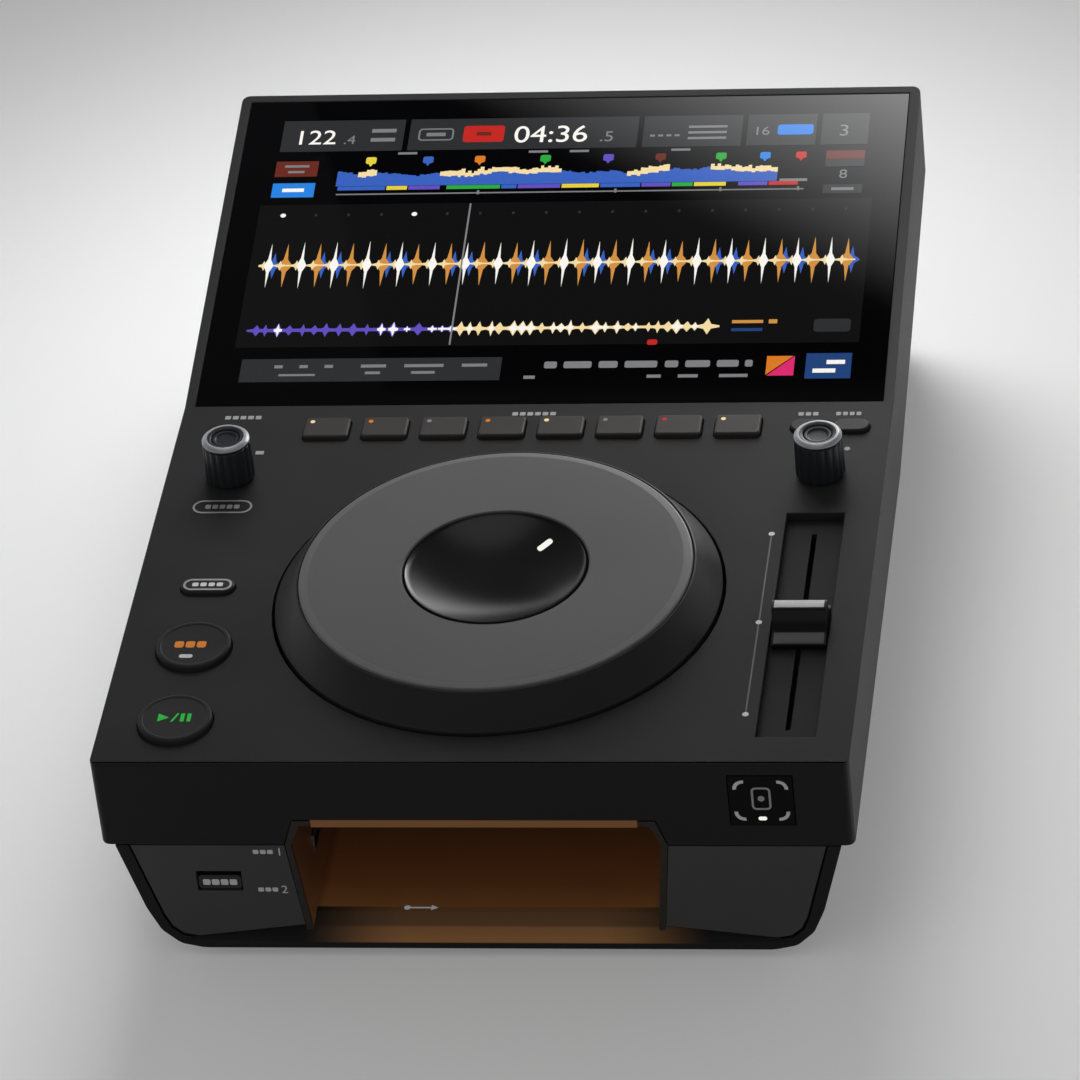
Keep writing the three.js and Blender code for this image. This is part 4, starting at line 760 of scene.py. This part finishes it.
def makeKnob(side, body):
    middle = middleOf(f"knob_{side}")
    top, high = knob["top"], knob["height"]
    neck = high - knob["ringHeight"]
    inner = top - knob["ringWall"]
    core, sunk = inner - knob["gap"], high - knob["sunk"]

    def fluted(i):
        turn = (i / knob["count"] * knob["flutes"]) % 1.0
        return 1 - knob["fluteDepth"] / knob["radius"] * math.sin(math.pi * turn) ** 4

    def isDark(face):
        # only the rim's chamfer is bright
        far, up = reachOf(face, middle)
        return far < top - knob["bright"] or up < high - knob["ringChamfer"] - 0.3

    bm = bmesh.new()
    addTurned(bm, eased([(0, knob["lift"]), (knob["radius"], knob["lift"]), (top, neck), (0, neck)], 0.5),
              *middle, onDeck, knob["count"], fluted)
    addTurned(bm, eased([(0, neck - 0.4), (core, neck - 0.4), (core, high - 0.7), (inner - 1.2, high - 0.7),
                         (inner - 1.8, sunk), (0, sunk)], 0.25), *middle, onDeck, knob["coreCount"])
    addPiece(f"knob_{side}_grip", meshFrom(bm, f"knob_{side}_grip", 50), body,
             finish["knobPlastic"], [f"knob_{side}"])
    turnedPiece(f"knob_{side}_band", eased([
        (inner, neck + knob["gap"]), (top, neck + knob["gap"]), (top, high - knob["ringChamfer"]),
        (top - 1.1, high), (top - knob["bright"], high), (inner + 0.6, high - 0.1), (inner, high - 0.5),
    ], 0.3), middle, body, finish["brightRing"], [f"knob_{side}_ring"], 96,
        (finish["knobPlastic"], isDark))
    dress(f"encoder_{side}", finish["platedSteel"])


makeKnob("left", "knob_l")
makeKnob("right", "knob_r")
print("knobs done")

# Tempo fader: a pale line on the cap's crest, and a painted highlight, a lighter strip on the foot of each
# end of the cap where its flank would catch the light

fader = {
    "high": 7.9, "drop": 0.9, "crest": 2.8, "half": 11, "foot": -1.1, "floor": -2.3, "bend": (4.6, -0.45),
    "wide": 18.2, "edge": 0.3, "lineWide": 16.6, "lineHalf": 1.9, "footWide": 16.8,
    "footShares": (0.06, 0.42), "steps": 10,
}


def bentStrip(name, x, wide, path, material):
    # a thin strip across X that follows a path of (y, z) points
    bm = bmesh.new()
    under, over = printSpan(0, 0.1)
    rows = [[bm.verts.new(onDeck(x + side * wide / 2, y, z + rise))
             for side, rise in ((-1, under), (1, under), (1, over), (-1, over))] for y, z in path]
    for a, b in zip(rows, rows[1:]):
        for i in range(4):
            j = (i + 1) % 4
            bm.faces.new((a[i], a[j], b[j], b[i]))
    bm.faces.new(rows[0][::-1])
    bm.faces.new(rows[-1])
    addPiece(name, meshFrom(bm, name), "tempo", material)


def crestPoint(y):
    return y, fader["high"] - fader["drop"] * (1 - math.sqrt(1 - abs(y) / fader["crest"])) ** 2


def flankPoint(t):
    bendY, bendZ = fader["bend"]
    shoulder = fader["high"] - fader["drop"]
    return (fader["half"] * (1 - t) ** 2 + 2 * bendY * t * (1 - t) + fader["crest"] * t * t,
            fader["foot"] * (1 - t) ** 2 + 2 * bendZ * t * (1 - t) + shoulder * t * t)


def makeFader():
    dress("fader_track", finish["wellBlack"])
    dress("fader_body", finish["softBlack"])
    x, y = middleOf("fader_cap")
    shares = [i / fader["steps"] for i in range(fader["steps"] + 1)]
    half = [(fader["half"], fader["floor"])] + [flankPoint(t) for t in shares]
    half += [crestPoint(fader["crest"] * (1 - t)) for t in shares[1:]]
    outline = half + [(-v, z) for v, z in reversed(half[:-1])]
    bm = bmesh.new()
    reach = fader["wide"] / 2
    addPrism(bm, outline, lambda v, z, across: onDeck(x + across, y + v, z), -reach, reach)
    ends = [edge for edge in bm.edges if abs(edge.verts[0].co.x - edge.verts[1].co.x) < 0.001 * mm
            and edge.calc_face_angle() > math.radians(60)]
    bmesh.ops.bevel(bm, geom=ends, offset=fader["edge"] * mm, segments=2, profile=0.5, affect="EDGES")
    addPiece("fader_cap_soft", meshFrom(bm, "fader_cap_soft", 50), "tempo",
             finish["capBlack"], ["fader_cap"])
    line = [crestPoint(fader["lineHalf"] * (2 * t - 1)) for t in shares]
    bentStrip("fader_line", x, fader["lineWide"], [(y + v, z) for v, z in line], finish["linePale"])
    # painted highlight: lighter strips over the foot of each flank, where the light would catch it
    start, end = fader["footShares"]
    foot = [flankPoint(start + (end - start) * t) for t in shares]
    for side, name in ((-1, "front"), (1, "back")):
        bentStrip(f"fader_foot_highlight_{name}", x, fader["footWide"], [(y + side * v, z) for v, z in foot],
                  finish["footPaintedHighlight"])


makeFader()
print("fader done")

# Screen: black glass over a lit picture of levels, times and marks. The picture is laid out from the right.
# Marks: tint, layer and shapes, whose heights count from the row's. Four numbers are a box, five a rounded
# one and six its outline; a text comes with its place and size, and counts from the left

picture = {
    "glass": -0.2, "film": 0.03, "half": 107, "seed": 11,
    "header": 17.9, "strip": 38, "wave": 71, "beats": 97, "overview": 112, "cues": 125.4, "info": 138.8,
    "needle": 34, "needleEnds": (30, 102), "stripEnds": (-58, 106), "waveTall": 12.4, "waveCount": 36,
    "overviewEnds": (-76, 84), "overviewTall": 10,
    "crests": ((-90, -52), (-38, -22), (2, 46), (70, 76)),
    "cueMarks": ((-84, "red"), (-71, "sky"), (-55, "green"), (-33, "brick"), (-14, "violet"), (9, "green"),
                 (33, "amber"), (52, "blue"), (73, "yellow")),
    "phrases": {"red": [(-84, -73)], "violet": [(-73, -62), (-38, -27), (2, 18), (46, 58)],
                "yellow": [(-58, -46), (-12, 2), (58, 66)], "green": [(-46, -38), (24, 44)],
                "blue": [(-27, -12), (18, 24), (66, 84)]},
}
chance = random.Random(picture["seed"])

stripMarks = {
    "panel": ("panel", 1, (0, 28, 222, 73)),
    "strip_marks": ("orange", 2, (-80, 2.2, 3.0, 2.0), (-71, 2.2, 11, 1.5)),
    "strip_notes": ("navy", 2, (-71, -1.8, 11, 1.5)),
    "strip_box": ("dim", 2, (-101, 0, 13, 6.4, 1.4)),
    "strip_flag": ("red", 2, (-38, -7.6, 3.6, 2.6, 0.8)),
}
headerMarks = {
    "tile_blue": ("navy", 2, (-101, 0, 16, 12.4)),
    "tile_blue_bars": ("white", 3, (-103.5, 1.8, 6.5, 2.0), (-99.6, -2.4, 8.0, 2.0)),
    "title": ("grey", 2, *[(x, 1.6, wide, 3.3, 0.8) for x, wide in (
        (-73, 2.7), (-65.6, 7.7), (-55, 8.7), (-45.8, 4.7), (-35, 11.5), (-23.4, 6.7), (-12.6, 9.9),
        (-3.0, 4.5))]),
    "subtitle": ("grey", 2, *[(x, -4.4, wide, 1.5) for x, wide in ((-68, 10), (-52, 7), (-40, 5), (4, 4))]),
    "header_band": ("dim", 2, (61, 0, 93, 11.4)),
    "header_words": ("grey", 3, *[(x, 1.8, wide, 1.5) for x, wide in (
        (24, 9), (42, 14), (60, 9), (76, 3), (85, 3), (94, 3))],
        (42, -1.6, 8.4, 1.3), (60, -1.6, 5.4, 1.3), (87, -2.4, 13, 1.0)),
}
infoMarks = {
    "info_boxes": ("dim", 1.5, *[(x, 0, wide, 16.4) for x, wide in (
        (-99, 17), (-76, 25), (-43.5, 36), (18.5, 84), (85, 45))]),
    "deck_number": ("grey", 3, "3", 96.6, -3.6, 8.4),
    "count_number": ("grey", 3, "16", 65.6, -2.6, 6.2),
    "time_number": ("white", 3, "04:36", -22, -4.8, 12.4),
    "part_number": ("grey", 3, ".5", 9.6, -4.8, 7.6),
    "tempo_number": ("white", 3, "122", -103, -4.4, 10.6),
    "tempo_part": ("grey", 3, ".4", -84.6, -4.4, 6.4),
    "info_button": ("sky", 3, (-81, 0, 13, 5.4, 1.2)),
    "info_lines": ("grey", 3, *[(-49, up, 14, 1.2) for up in (2.2, -0.8, -3.8)]),
    "info_dashes": ("grey", 3, *[(x, -2.2, 1.8, 1.0) for x in (-38, -35, -32, -29)],
                    *[(x, -9.8, 7, 1.1) for x in (-40, -3, 12, 60)]),
    "info_frame": ("grey", 3, (50.6, 0, 13, 6.4, 1.6, 0.6)),
    "info_frame_bar": ("grey", 3, (50.6, 0, 7, 1.8)),
    "info_red": ("red", 3, (33, 0, 15, 8.6, 1.2)),
    "info_red_bar": ("brick", 4, (33, 0, 5.4, 2.0)),
    "info_words": ("grey", 3, (70, -2.4, 9, 1.9), (70, 2.4, 9, 1.9)),
}
overviewMarks = {
    "overview_lead": ("grey", 2, (-82, 0.4, 10, 1.4)),
    "overview_rule": ("grey", 2, (-1, -4.3, 170, 0.6), *[(x, -4.0, 0.8, 2.0) for x in (-84, -56, -18, 32)]),
    "side_boxes": ("dim", 2, (-100, 9.8, 14, 5.6), (-100, -4.6, 14, 4.6)),
    "side_red": ("brick", 3, (-100, 13.2, 14, 4.4)),
    "side_number": ("grey", 3, "8", 98.2, 1.0, 6.4),
    "side_bar": ("grey", 3, (-100, -4.6, 8, 1.4)),
    "corner_brick": ("brick", 2, (100, 9.4, 15.6, 8.0)),
    "corner_brick_bars": ("grey", 3, (100, 10.8, 9, 1.2), (100, 7.8, 6, 1.2)),
    "corner_sky": ("sky", 2, (100, -1.8, 15.6, 7.4)),
    "corner_sky_bar": ("white", 3, (100, -1.8, 8, 1.8)),
}


def litSpan(layer):
    return picture["glass"] - picture["film"], picture["glass"] + picture["film"] * layer


def lit(name, shapes, tint, layer):
    flatPiece("picture_" + name, shapes, lambda x, up, off: onScreen(-x, up, off), litSpan(layer), "body",
              glow[tint])


def makeMarks(height, marks):
    for name, (tint, layer, *shapes) in marks.items():
        if isinstance(shapes[0], str):
            text, x, up, size = shapes
            numberPiece("picture_" + name, text, x, height + up, size, onScreen, litSpan(layer), "body",
                        glow[tint])
            continue
        drawing = {4: boxPoints, 5: roundedPoints, 6: outlinePair}[len(shapes[0])]
        lit(name, [drawing(x, height + up, *size) for x, up, *size in shapes], tint, layer)


def spike(x, y, wide, tall):
    upper = [(x - wide, y + 0.4), (x - wide * 0.3, y + tall * 0.28), (x, y + tall),
             (x + wide * 0.35, y + tall * 0.3), (x + wide, y + 0.4)]
    return upper + [(u, 2 * y - v) for u, v in reversed(upper)]


def makeWave():
    half, y, count = picture["half"], picture["wave"], picture["waveCount"]
    pitch = half * 2 / count
    groups = {"blue": [], "orange": [], "cream": [], "white": []}
    for i in range(count):
        x = -half + pitch * (i + 0.5)
        tall = picture["waveTall"] * chance.uniform(0.86, 1.0)
        if i % 2:
            groups["white"].append(spike(x, y, pitch * 0.27, tall))
        else:
            groups["orange"].append(spike(x, y, pitch * 0.4, tall * 0.97))
        if i % 4 in (0, 3):
            groups["blue"].append(spike(x - pitch * 0.3, y, pitch * 0.45, tall * 0.6))
        groups["cream"].append(spike(x + pitch * 0.3, y, pitch * 0.32, tall * 0.22))
    groups["cream"].append(boxPoints(0, y, half * 2, 0.7))
    for layer, tint in enumerate(groups, 2):
        lit("wave_" + tint, groups[tint], tint, layer)


def makeStrip():
    y, needle = picture["strip"], picture["needle"]
    low, high = picture["needleEnds"]
    start, end = picture["stripEnds"]
    groups = {"violet": [boxPoints((needle + end) / 2, y, end - needle, 1.6)],
              "cream": [boxPoints((start + needle) / 2, y, needle - start, 1.2)], "white": []}
    x = start + 1.0
    while x < end:
        wide = chance.uniform(2.0, 4.2)
        tall = chance.uniform(1.6, 4.0)
        groups["cream" if x < needle else "violet"].append(spike(x, y, wide, tall))
        if chance.random() < 0.4:
            groups["white"].append(spike(x, y, wide * 0.5, tall * 0.9))
        x += chance.uniform(2.6, 5.2)
    for layer, tint in enumerate(groups, 2):
        lit("strip_" + tint, groups[tint], tint, layer)
    lit("needle", [boxPoints(needle, (low + high) / 2, 0.6, high - low)], "grey", 7)
    lit("beats", [boxPoints(-102 + 12 * i, picture["beats"], 0.9, 1.3) for i in range(18)], "dim", 2)
    lit("beats_bright", [circlePoints(x, picture["beats"], 1.0, 16) for x in (54, 102)], "white", 3)


def makeOverview():
    # a landscape with crests where the music is loud, cues above it and phrases below
    low, tall, y = picture["overview"], picture["overviewTall"], picture["cues"]
    x, end = picture["overviewEnds"]
    skyline, crests, tops, feet = [(x, low)], [], [], []
    while x < end:
        loud = 0.5 + 0.3 * math.sin(x * 0.09) + 0.2 * math.sin(x * 0.31)
        wide = chance.uniform(0.9, 1.6)
        level = low + tall * (0.45 + 0.3 * loud + chance.uniform(0, 0.1))
        skyline += [(x, level), (x + wide, level)]
        if any(first < x < last for first, last in picture["crests"]):
            rise = level + chance.uniform(0.4, 2.2)
            tops += [(x, rise), (x + wide, rise)]
            feet += [(x, level - 1.4), (x + wide, level - 1.4)]
        elif tops:
            crests.append(tops + feet[::-1])
            tops, feet = [], []
        x += wide
    lit("overview", [skyline + [(x, low)]], "blue", 2)
    lit("overview_crests", crests, "cream", 3)
    for i, (x, tint) in enumerate(picture["cueMarks"], 1):
        pointer = [(x - 0.9, y - 1.6), (x + 0.9, y - 1.6), (x, y - 3.2)]
        lit(f"cue_{i}", [roundedPoints(x, y, 3.8, 3.4, 0.8), pointer], tint, 3)
    for tint, runs in picture["phrases"].items():
        lit("phrase_" + tint, [boxPoints((a + b) / 2, low - 1.2, b - a - 0.5, 1.9) for a, b in runs], tint, 3)


dress("screen_glass", finish["screenBlack"])
dress("screen_module", finish["moduleGrey"])
makeWave()
makeStrip()
makeOverview()
for row, marks in (("strip", stripMarks), ("header", headerMarks), ("info", infoMarks),
                   ("overview", overviewMarks)):
    makeMarks(picture[row], marks)
y = picture["header"]
lit("tile_warm", [[(-89, y - 4.6), (-79.6, y - 4.6), (-89, y + 5)]], "pink", 2)
lit("tile_sun", [[(-79.2, y - 4.2), (-79.2, y + 5), (-88.4, y + 5)]], "amber", 2)
print("screen done")

# Back, feet and inner pieces

rear = {
    "proud": 1.0,                             # how far the sockets stand out of the panel
    "network_jack": (12, 9, 13), "link_jack": (8.6, 7.8, 9.5),    # mouths: width, height and depth
    "contacts": {"network_jack": (8, 1.02, 0.5), "link_jack": (4, 1.6, 0.8)},    # count, pitch and width
    "contactSpan": (-8.5, -1.5), "contactTall": 0.7,
    "blades": ((-7, -2), (0, 2), (7, -2)), "blade": (2.14, 4.14, 9.07), "inletDeep": 15,
    "phonoPitch": 19, "phonoRise": 8, "collar": (5.6, 4.2, 48), "collarHigh": 1.5, "core": (3.2, 1.8, 48),
    "coreHigh": 0.06,
    "legendDrop": 5.6, "legend": (2.9, 2.2, 1.5, 0.3),    # pitch, width, height and corner
    "legends": {"power_inlet": 4, "power_rocker": 3, "network_jack": 4, "link_jack": 3, "audio_jacks": 6},
    "screws": ((24.5, -45.6), (24.5, -65.4), (-85.6, -45.6), (-85.6, -65.4)),
    "screwHead": 2.4, "screwHigh": 0.9, "slot": (2.9, 0.7), "rockerMark": (4.6, 3.2, 0.6),
}
rearY = deckBox("power_inlet")[1].y


def onBack(x, z, off=0.0):
    return onDeck(x, rearY + off, z)


def backPlace(node):
    low, high = deckBox(node)
    return (low.x + high.x) / 2, (low.z + high.z) / 2


def makeJack(node):
    x, z = backPlace(node)
    wide, tall, deep = rear[node]

    def isMouth(face):
        place = (face.calc_center_median() - onBack(x, z)) / mm
        return (abs(place.x) < wide / 2 + 0.05 and abs(place.z) < tall / 2 + 0.05
                and -deep - 0.1 < place.y < -0.4)

    softenNode(node, "body", finish["platedSteel"], 0.15,
               second=(finish["softBlack"], isMouth))
    count, pitch, thin = rear["contacts"][node]
    height = rear["contactTall"]
    flatPiece(node + "_contacts", [boxPoints(u, z + tall / 2 - height / 2, thin, height)
                                   for u in evenly(x, count, pitch)],
              onBack, rear["contactSpan"], "body", finish["contactGold"])


def makeAudioPair():
    dress("audio_jacks", finish["platedSteel"])
    low, high = deckBox("audio_jacks")
    z = low.z + rear["phonoRise"]
    tip = high.y - rearY
    for x, name in zip(evenly((low.x + high.x) / 2, 2, rear["phonoPitch"]), ("red", "white")):
        material = finish["phono" + name.capitalize()]
        flatPiece(f"audio_collar_{name}", [ringPair(x, z, *rear["collar"])], onBack,
                  (-rear["proud"] - deck["root"], rear["collarHigh"] - rear["proud"]), "body", material)
        flatPiece(f"audio_core_{name}", [ringPair(x, z, *rear["core"])], onBack,
                  (tip - deck["root"], tip + rear["coreHigh"]), "body", material)


def makeBack():
    for node in ("rear_panel", "power_inlet", "power_switch_case"):
        dress(node, finish["softBlack"])
    softenNode("power_rocker", "rocker", finish["buttonBlack"], 0.3)
    makeJack("network_jack")
    makeJack("link_jack")
    makeAudioPair()
    x, z = backPlace("power_inlet")
    wide, tall, long = rear["blade"]
    flatPiece("inlet_blades", [boxPoints(x + u, z + v, wide, tall) for u, v in rear["blades"]], onBack,
              (-rear["inletDeep"], long - rear["inletDeep"]), "body", finish["platedSteel"])
    x, z = backPlace("power_rocker")
    reach, size, line = rear["rockerMark"]
    onRocker = projectOn("power_rocker", lambda u, v: onBack(u, v, 20), (0, -1, 0))
    for name, shape in (("rocker_on", boxPoints(x, z + reach, line, size)),
                        ("rocker_off", ringPair(x, z - reach, size / 2, size / 2 - line, 24))):
        flatPiece(name, [shape], onRocker, printSpan(0, 0.1), "rocker", finish["printPale"])
    top = deckBox("rear_panel")[1].z
    bars = [bar for node, count in rear["legends"].items()
            for bar in barRow(backPlace(node)[0], top - rear["legendDrop"], count, *rear["legend"])]
    flatPiece("back_prints", bars, onBack, printSpan(-rear["proud"]), "body", finish["printGrey"])
    bm = bmesh.new()
    radius, high = rear["screwHead"], rear["screwHigh"]
    head = [(0, -0.1), (radius, -0.1), (radius, high * 0.4), (radius * 0.8, high * 0.8), (0, high)]
    for x, z in rear["screws"]:
        addTurned(bm, head, x, z, lambda u, v, h: onBack(u, v, h - rear["proud"]), 32)
    addPiece("panel_screws", meshFrom(bm, "panel_screws"), "body", finish["platedSteel"])
    long, thin = rear["slot"][0] / 2, rear["slot"][1] / 2
    cross = [(thin, thin), (thin, long), (-thin, long), (-thin, thin), (-long, thin), (-long, -thin),
             (-thin, -thin), (-thin, -long), (thin, -long), (thin, -thin), (long, -thin), (long, thin)]
    flatPiece("panel_screw_slots", [[(x + u, z + v) for u, v in cross] for x, z in rear["screws"]], onBack,
              (high * 0.7 - rear["proud"], high + deck["print"] - rear["proud"]), "body", finish["softBlack"])


makeBack()
for i in range(1, 5):
    dress(f"foot_{i}", finish["footRubber"])
    dress(f"screw_{i}", finish["platedSteel"])
for node in ("key_board", "main_board"):
    dress(node, finish["boardGreen"])
dress("power_supply", finish["platedSteel"])
print("back and inner pieces done")

# Studio: pale floor, soft sky, a near lamp behind the player and a card that its glass mirrors

studio = {
    "floor": 8.0, "floorTone": tone(216, 216, 216), "lift": 0.15,
    "sky": [(0.1, 0.6), (0.85, 0.26)],
    "backdrop": [(0.08, 1.0), (0.3, 0.14), (0.85, 0.03), (0.95, 0.8)],   # what camera, metal and glass see
    "keyPower": 1.3, "keySize": 0.4, "keySpread": 100, "keyPlace": (-0.06, 0.4, 0.44),
    "fillPower": 1.6, "fillSize": 1.6, "fillPlace": (-0.9, -1.0, 1.4), "lampAim": (0, 0, 0.05),
    "cardWide": (-0.12, 0.22), "cardTall": (0.13, 0.4), "cardY": 0.25, "cardSlope": (0.66, 0, -0.751),
    "cardRise": (-0.2, -0.087), "cardCurve": 1.5, "cardGlow": 4.6,
}


def seenRay(owner):
    # 1 for rays from the camera, from glossy surfaces and through glass
    rays = addNode(owner, "LightPath", {}).outputs
    shiny = mathOf(owner, "MAXIMUM", rays["Is Camera Ray"], rays["Is Glossy Ray"])
    return mathOf(owner, "MAXIMUM", shiny, rays["Is Transmission Ray"])


def makeFloor():
    bm = bmesh.new()
    bmesh.ops.create_grid(bm, x_segments=4, y_segments=4, size=studio["floor"] / 2)
    floor = putIn("studio_floor", meshFrom(bm, "studio_floor"))
    material, shader = newMaterial("studioFloor")
    setInputs(shader, {
        "Base Color": studio["floorTone"], "Roughness": 0.9, "Specular IOR Level": 0.1,
        "Emission Color": (1, 1, 1, 1),
        "Emission Strength": mathOf(material, "MULTIPLY", seenRay(material), studio["lift"])})
    floor.data.materials.append(material)


def makeSky():
    world = bpy.data.worlds.new("studio")
    bpy.context.scene.world = world
    world.use_nodes = True
    height = axesOf(world, addNode(world, "TexCoord", {}).outputs["Generated"])["Z"]
    soft = rampOf(world, height, studio["sky"], "EASE")
    backdrop = rampOf(world, height, studio["backdrop"], "EASE")
    setInputs(world.node_tree.nodes["Background"], {"Color": mixOf(world, seenRay(world), soft, backdrop)})


def makeCard():
    # a soft light on one side, brighter towards its lower right corner
    left, right = studio["cardWide"]
    low, high = studio["cardTall"]
    bm = bmesh.new()
    corners = [(left, low), (right, low), (right, high), (left, high)]
    bm.faces.new([bm.verts.new((x, studio["cardY"], z)) for x, z in corners])
    mesh = bpy.data.meshes.new("soft_card")
    bm.to_mesh(mesh)
    bm.free()
    card = putIn("soft_card", mesh)
    material, shader = newMaterial("softCard")
    material.node_tree.nodes.remove(shader)
    slope = addNode(material, "VectorMath", {0: placeOf(material), 1: studio["cardSlope"]},
                    operation="DOT_PRODUCT")
    rise = rangeOf(material, slope.outputs["Value"], *studio["cardRise"], clamp=False)
    curve = mathOf(material, "POWER", mathOf(material, "MAXIMUM", rise, 0.0), studio["cardCurve"])
    strength = mathOf(material, "MULTIPLY", curve, studio["cardGlow"])
    light = addNode(material, "Emission", {"Strength": strength})
    clear = addNode(material, "BsdfTransparent", {})
    facing = addNode(material, "NewGeometry", {})
    sides = addNode(material, "MixShader", {
        "Fac": facing.outputs["Backfacing"], 1: light.outputs[0], 2: clear.outputs[0]})
    setInputs(material.node_tree.nodes["Material Output"], {"Surface": sides.outputs[0]})
    mesh.materials.append(material)
    card.visible_camera = False
    card.visible_diffuse = False
    card.visible_transmission = False
    card.visible_shadow = False


def addLamp(kind, spread=180):
    lamp = bpy.data.lights.new(kind + " lamp", "AREA")
    lamp.shape = "DISK"
    lamp.size = studio[kind + "Size"]
    lamp.energy = studio[kind + "Power"]
    lamp.spread = math.radians(spread)
    holder = putIn(kind + " lamp", lamp)
    place = Vector(studio[kind + "Place"])
    holder.location = place
    holder.rotation_euler = (Vector(studio["lampAim"]) - place).to_track_quat("-Z", "Y").to_euler()
    holder.visible_glossy = False


makeFloor()
makeSky()
makeCard()
addLamp("key", studio["keySpread"])
addLamp("fill")

# Camera: at the photo's viewing angle, level with the deck's front edge

view = {"place": (0.3393, -1.8555, 1.4087), "aim": (0.002, -0.012, 0.048), "lens": 222, "edge": 120}


def makeCamera():
    lens = bpy.data.cameras.new("camera")
    lens.lens = view["lens"]
    lens.sensor_width = 36
    camera = putIn("camera", lens)
    place = Vector(view["place"])
    forward = (Vector(view["aim"]) - place).normalized()
    left, right = onLip(-view["edge"], 0) - place, onLip(view["edge"], 0) - place
    across = forward.cross(left.cross(right)).normalized()
    if across.x < 0:
        across = -across
    up = across.cross(forward)
    camera.matrix_world = Matrix.Translation(place) @ Matrix((across, up, -forward)).transposed().to_4x4()
    bpy.context.scene.camera = camera


makeCamera()
bpy.context.scene.view_settings.view_transform = "Standard"
print("studio done")
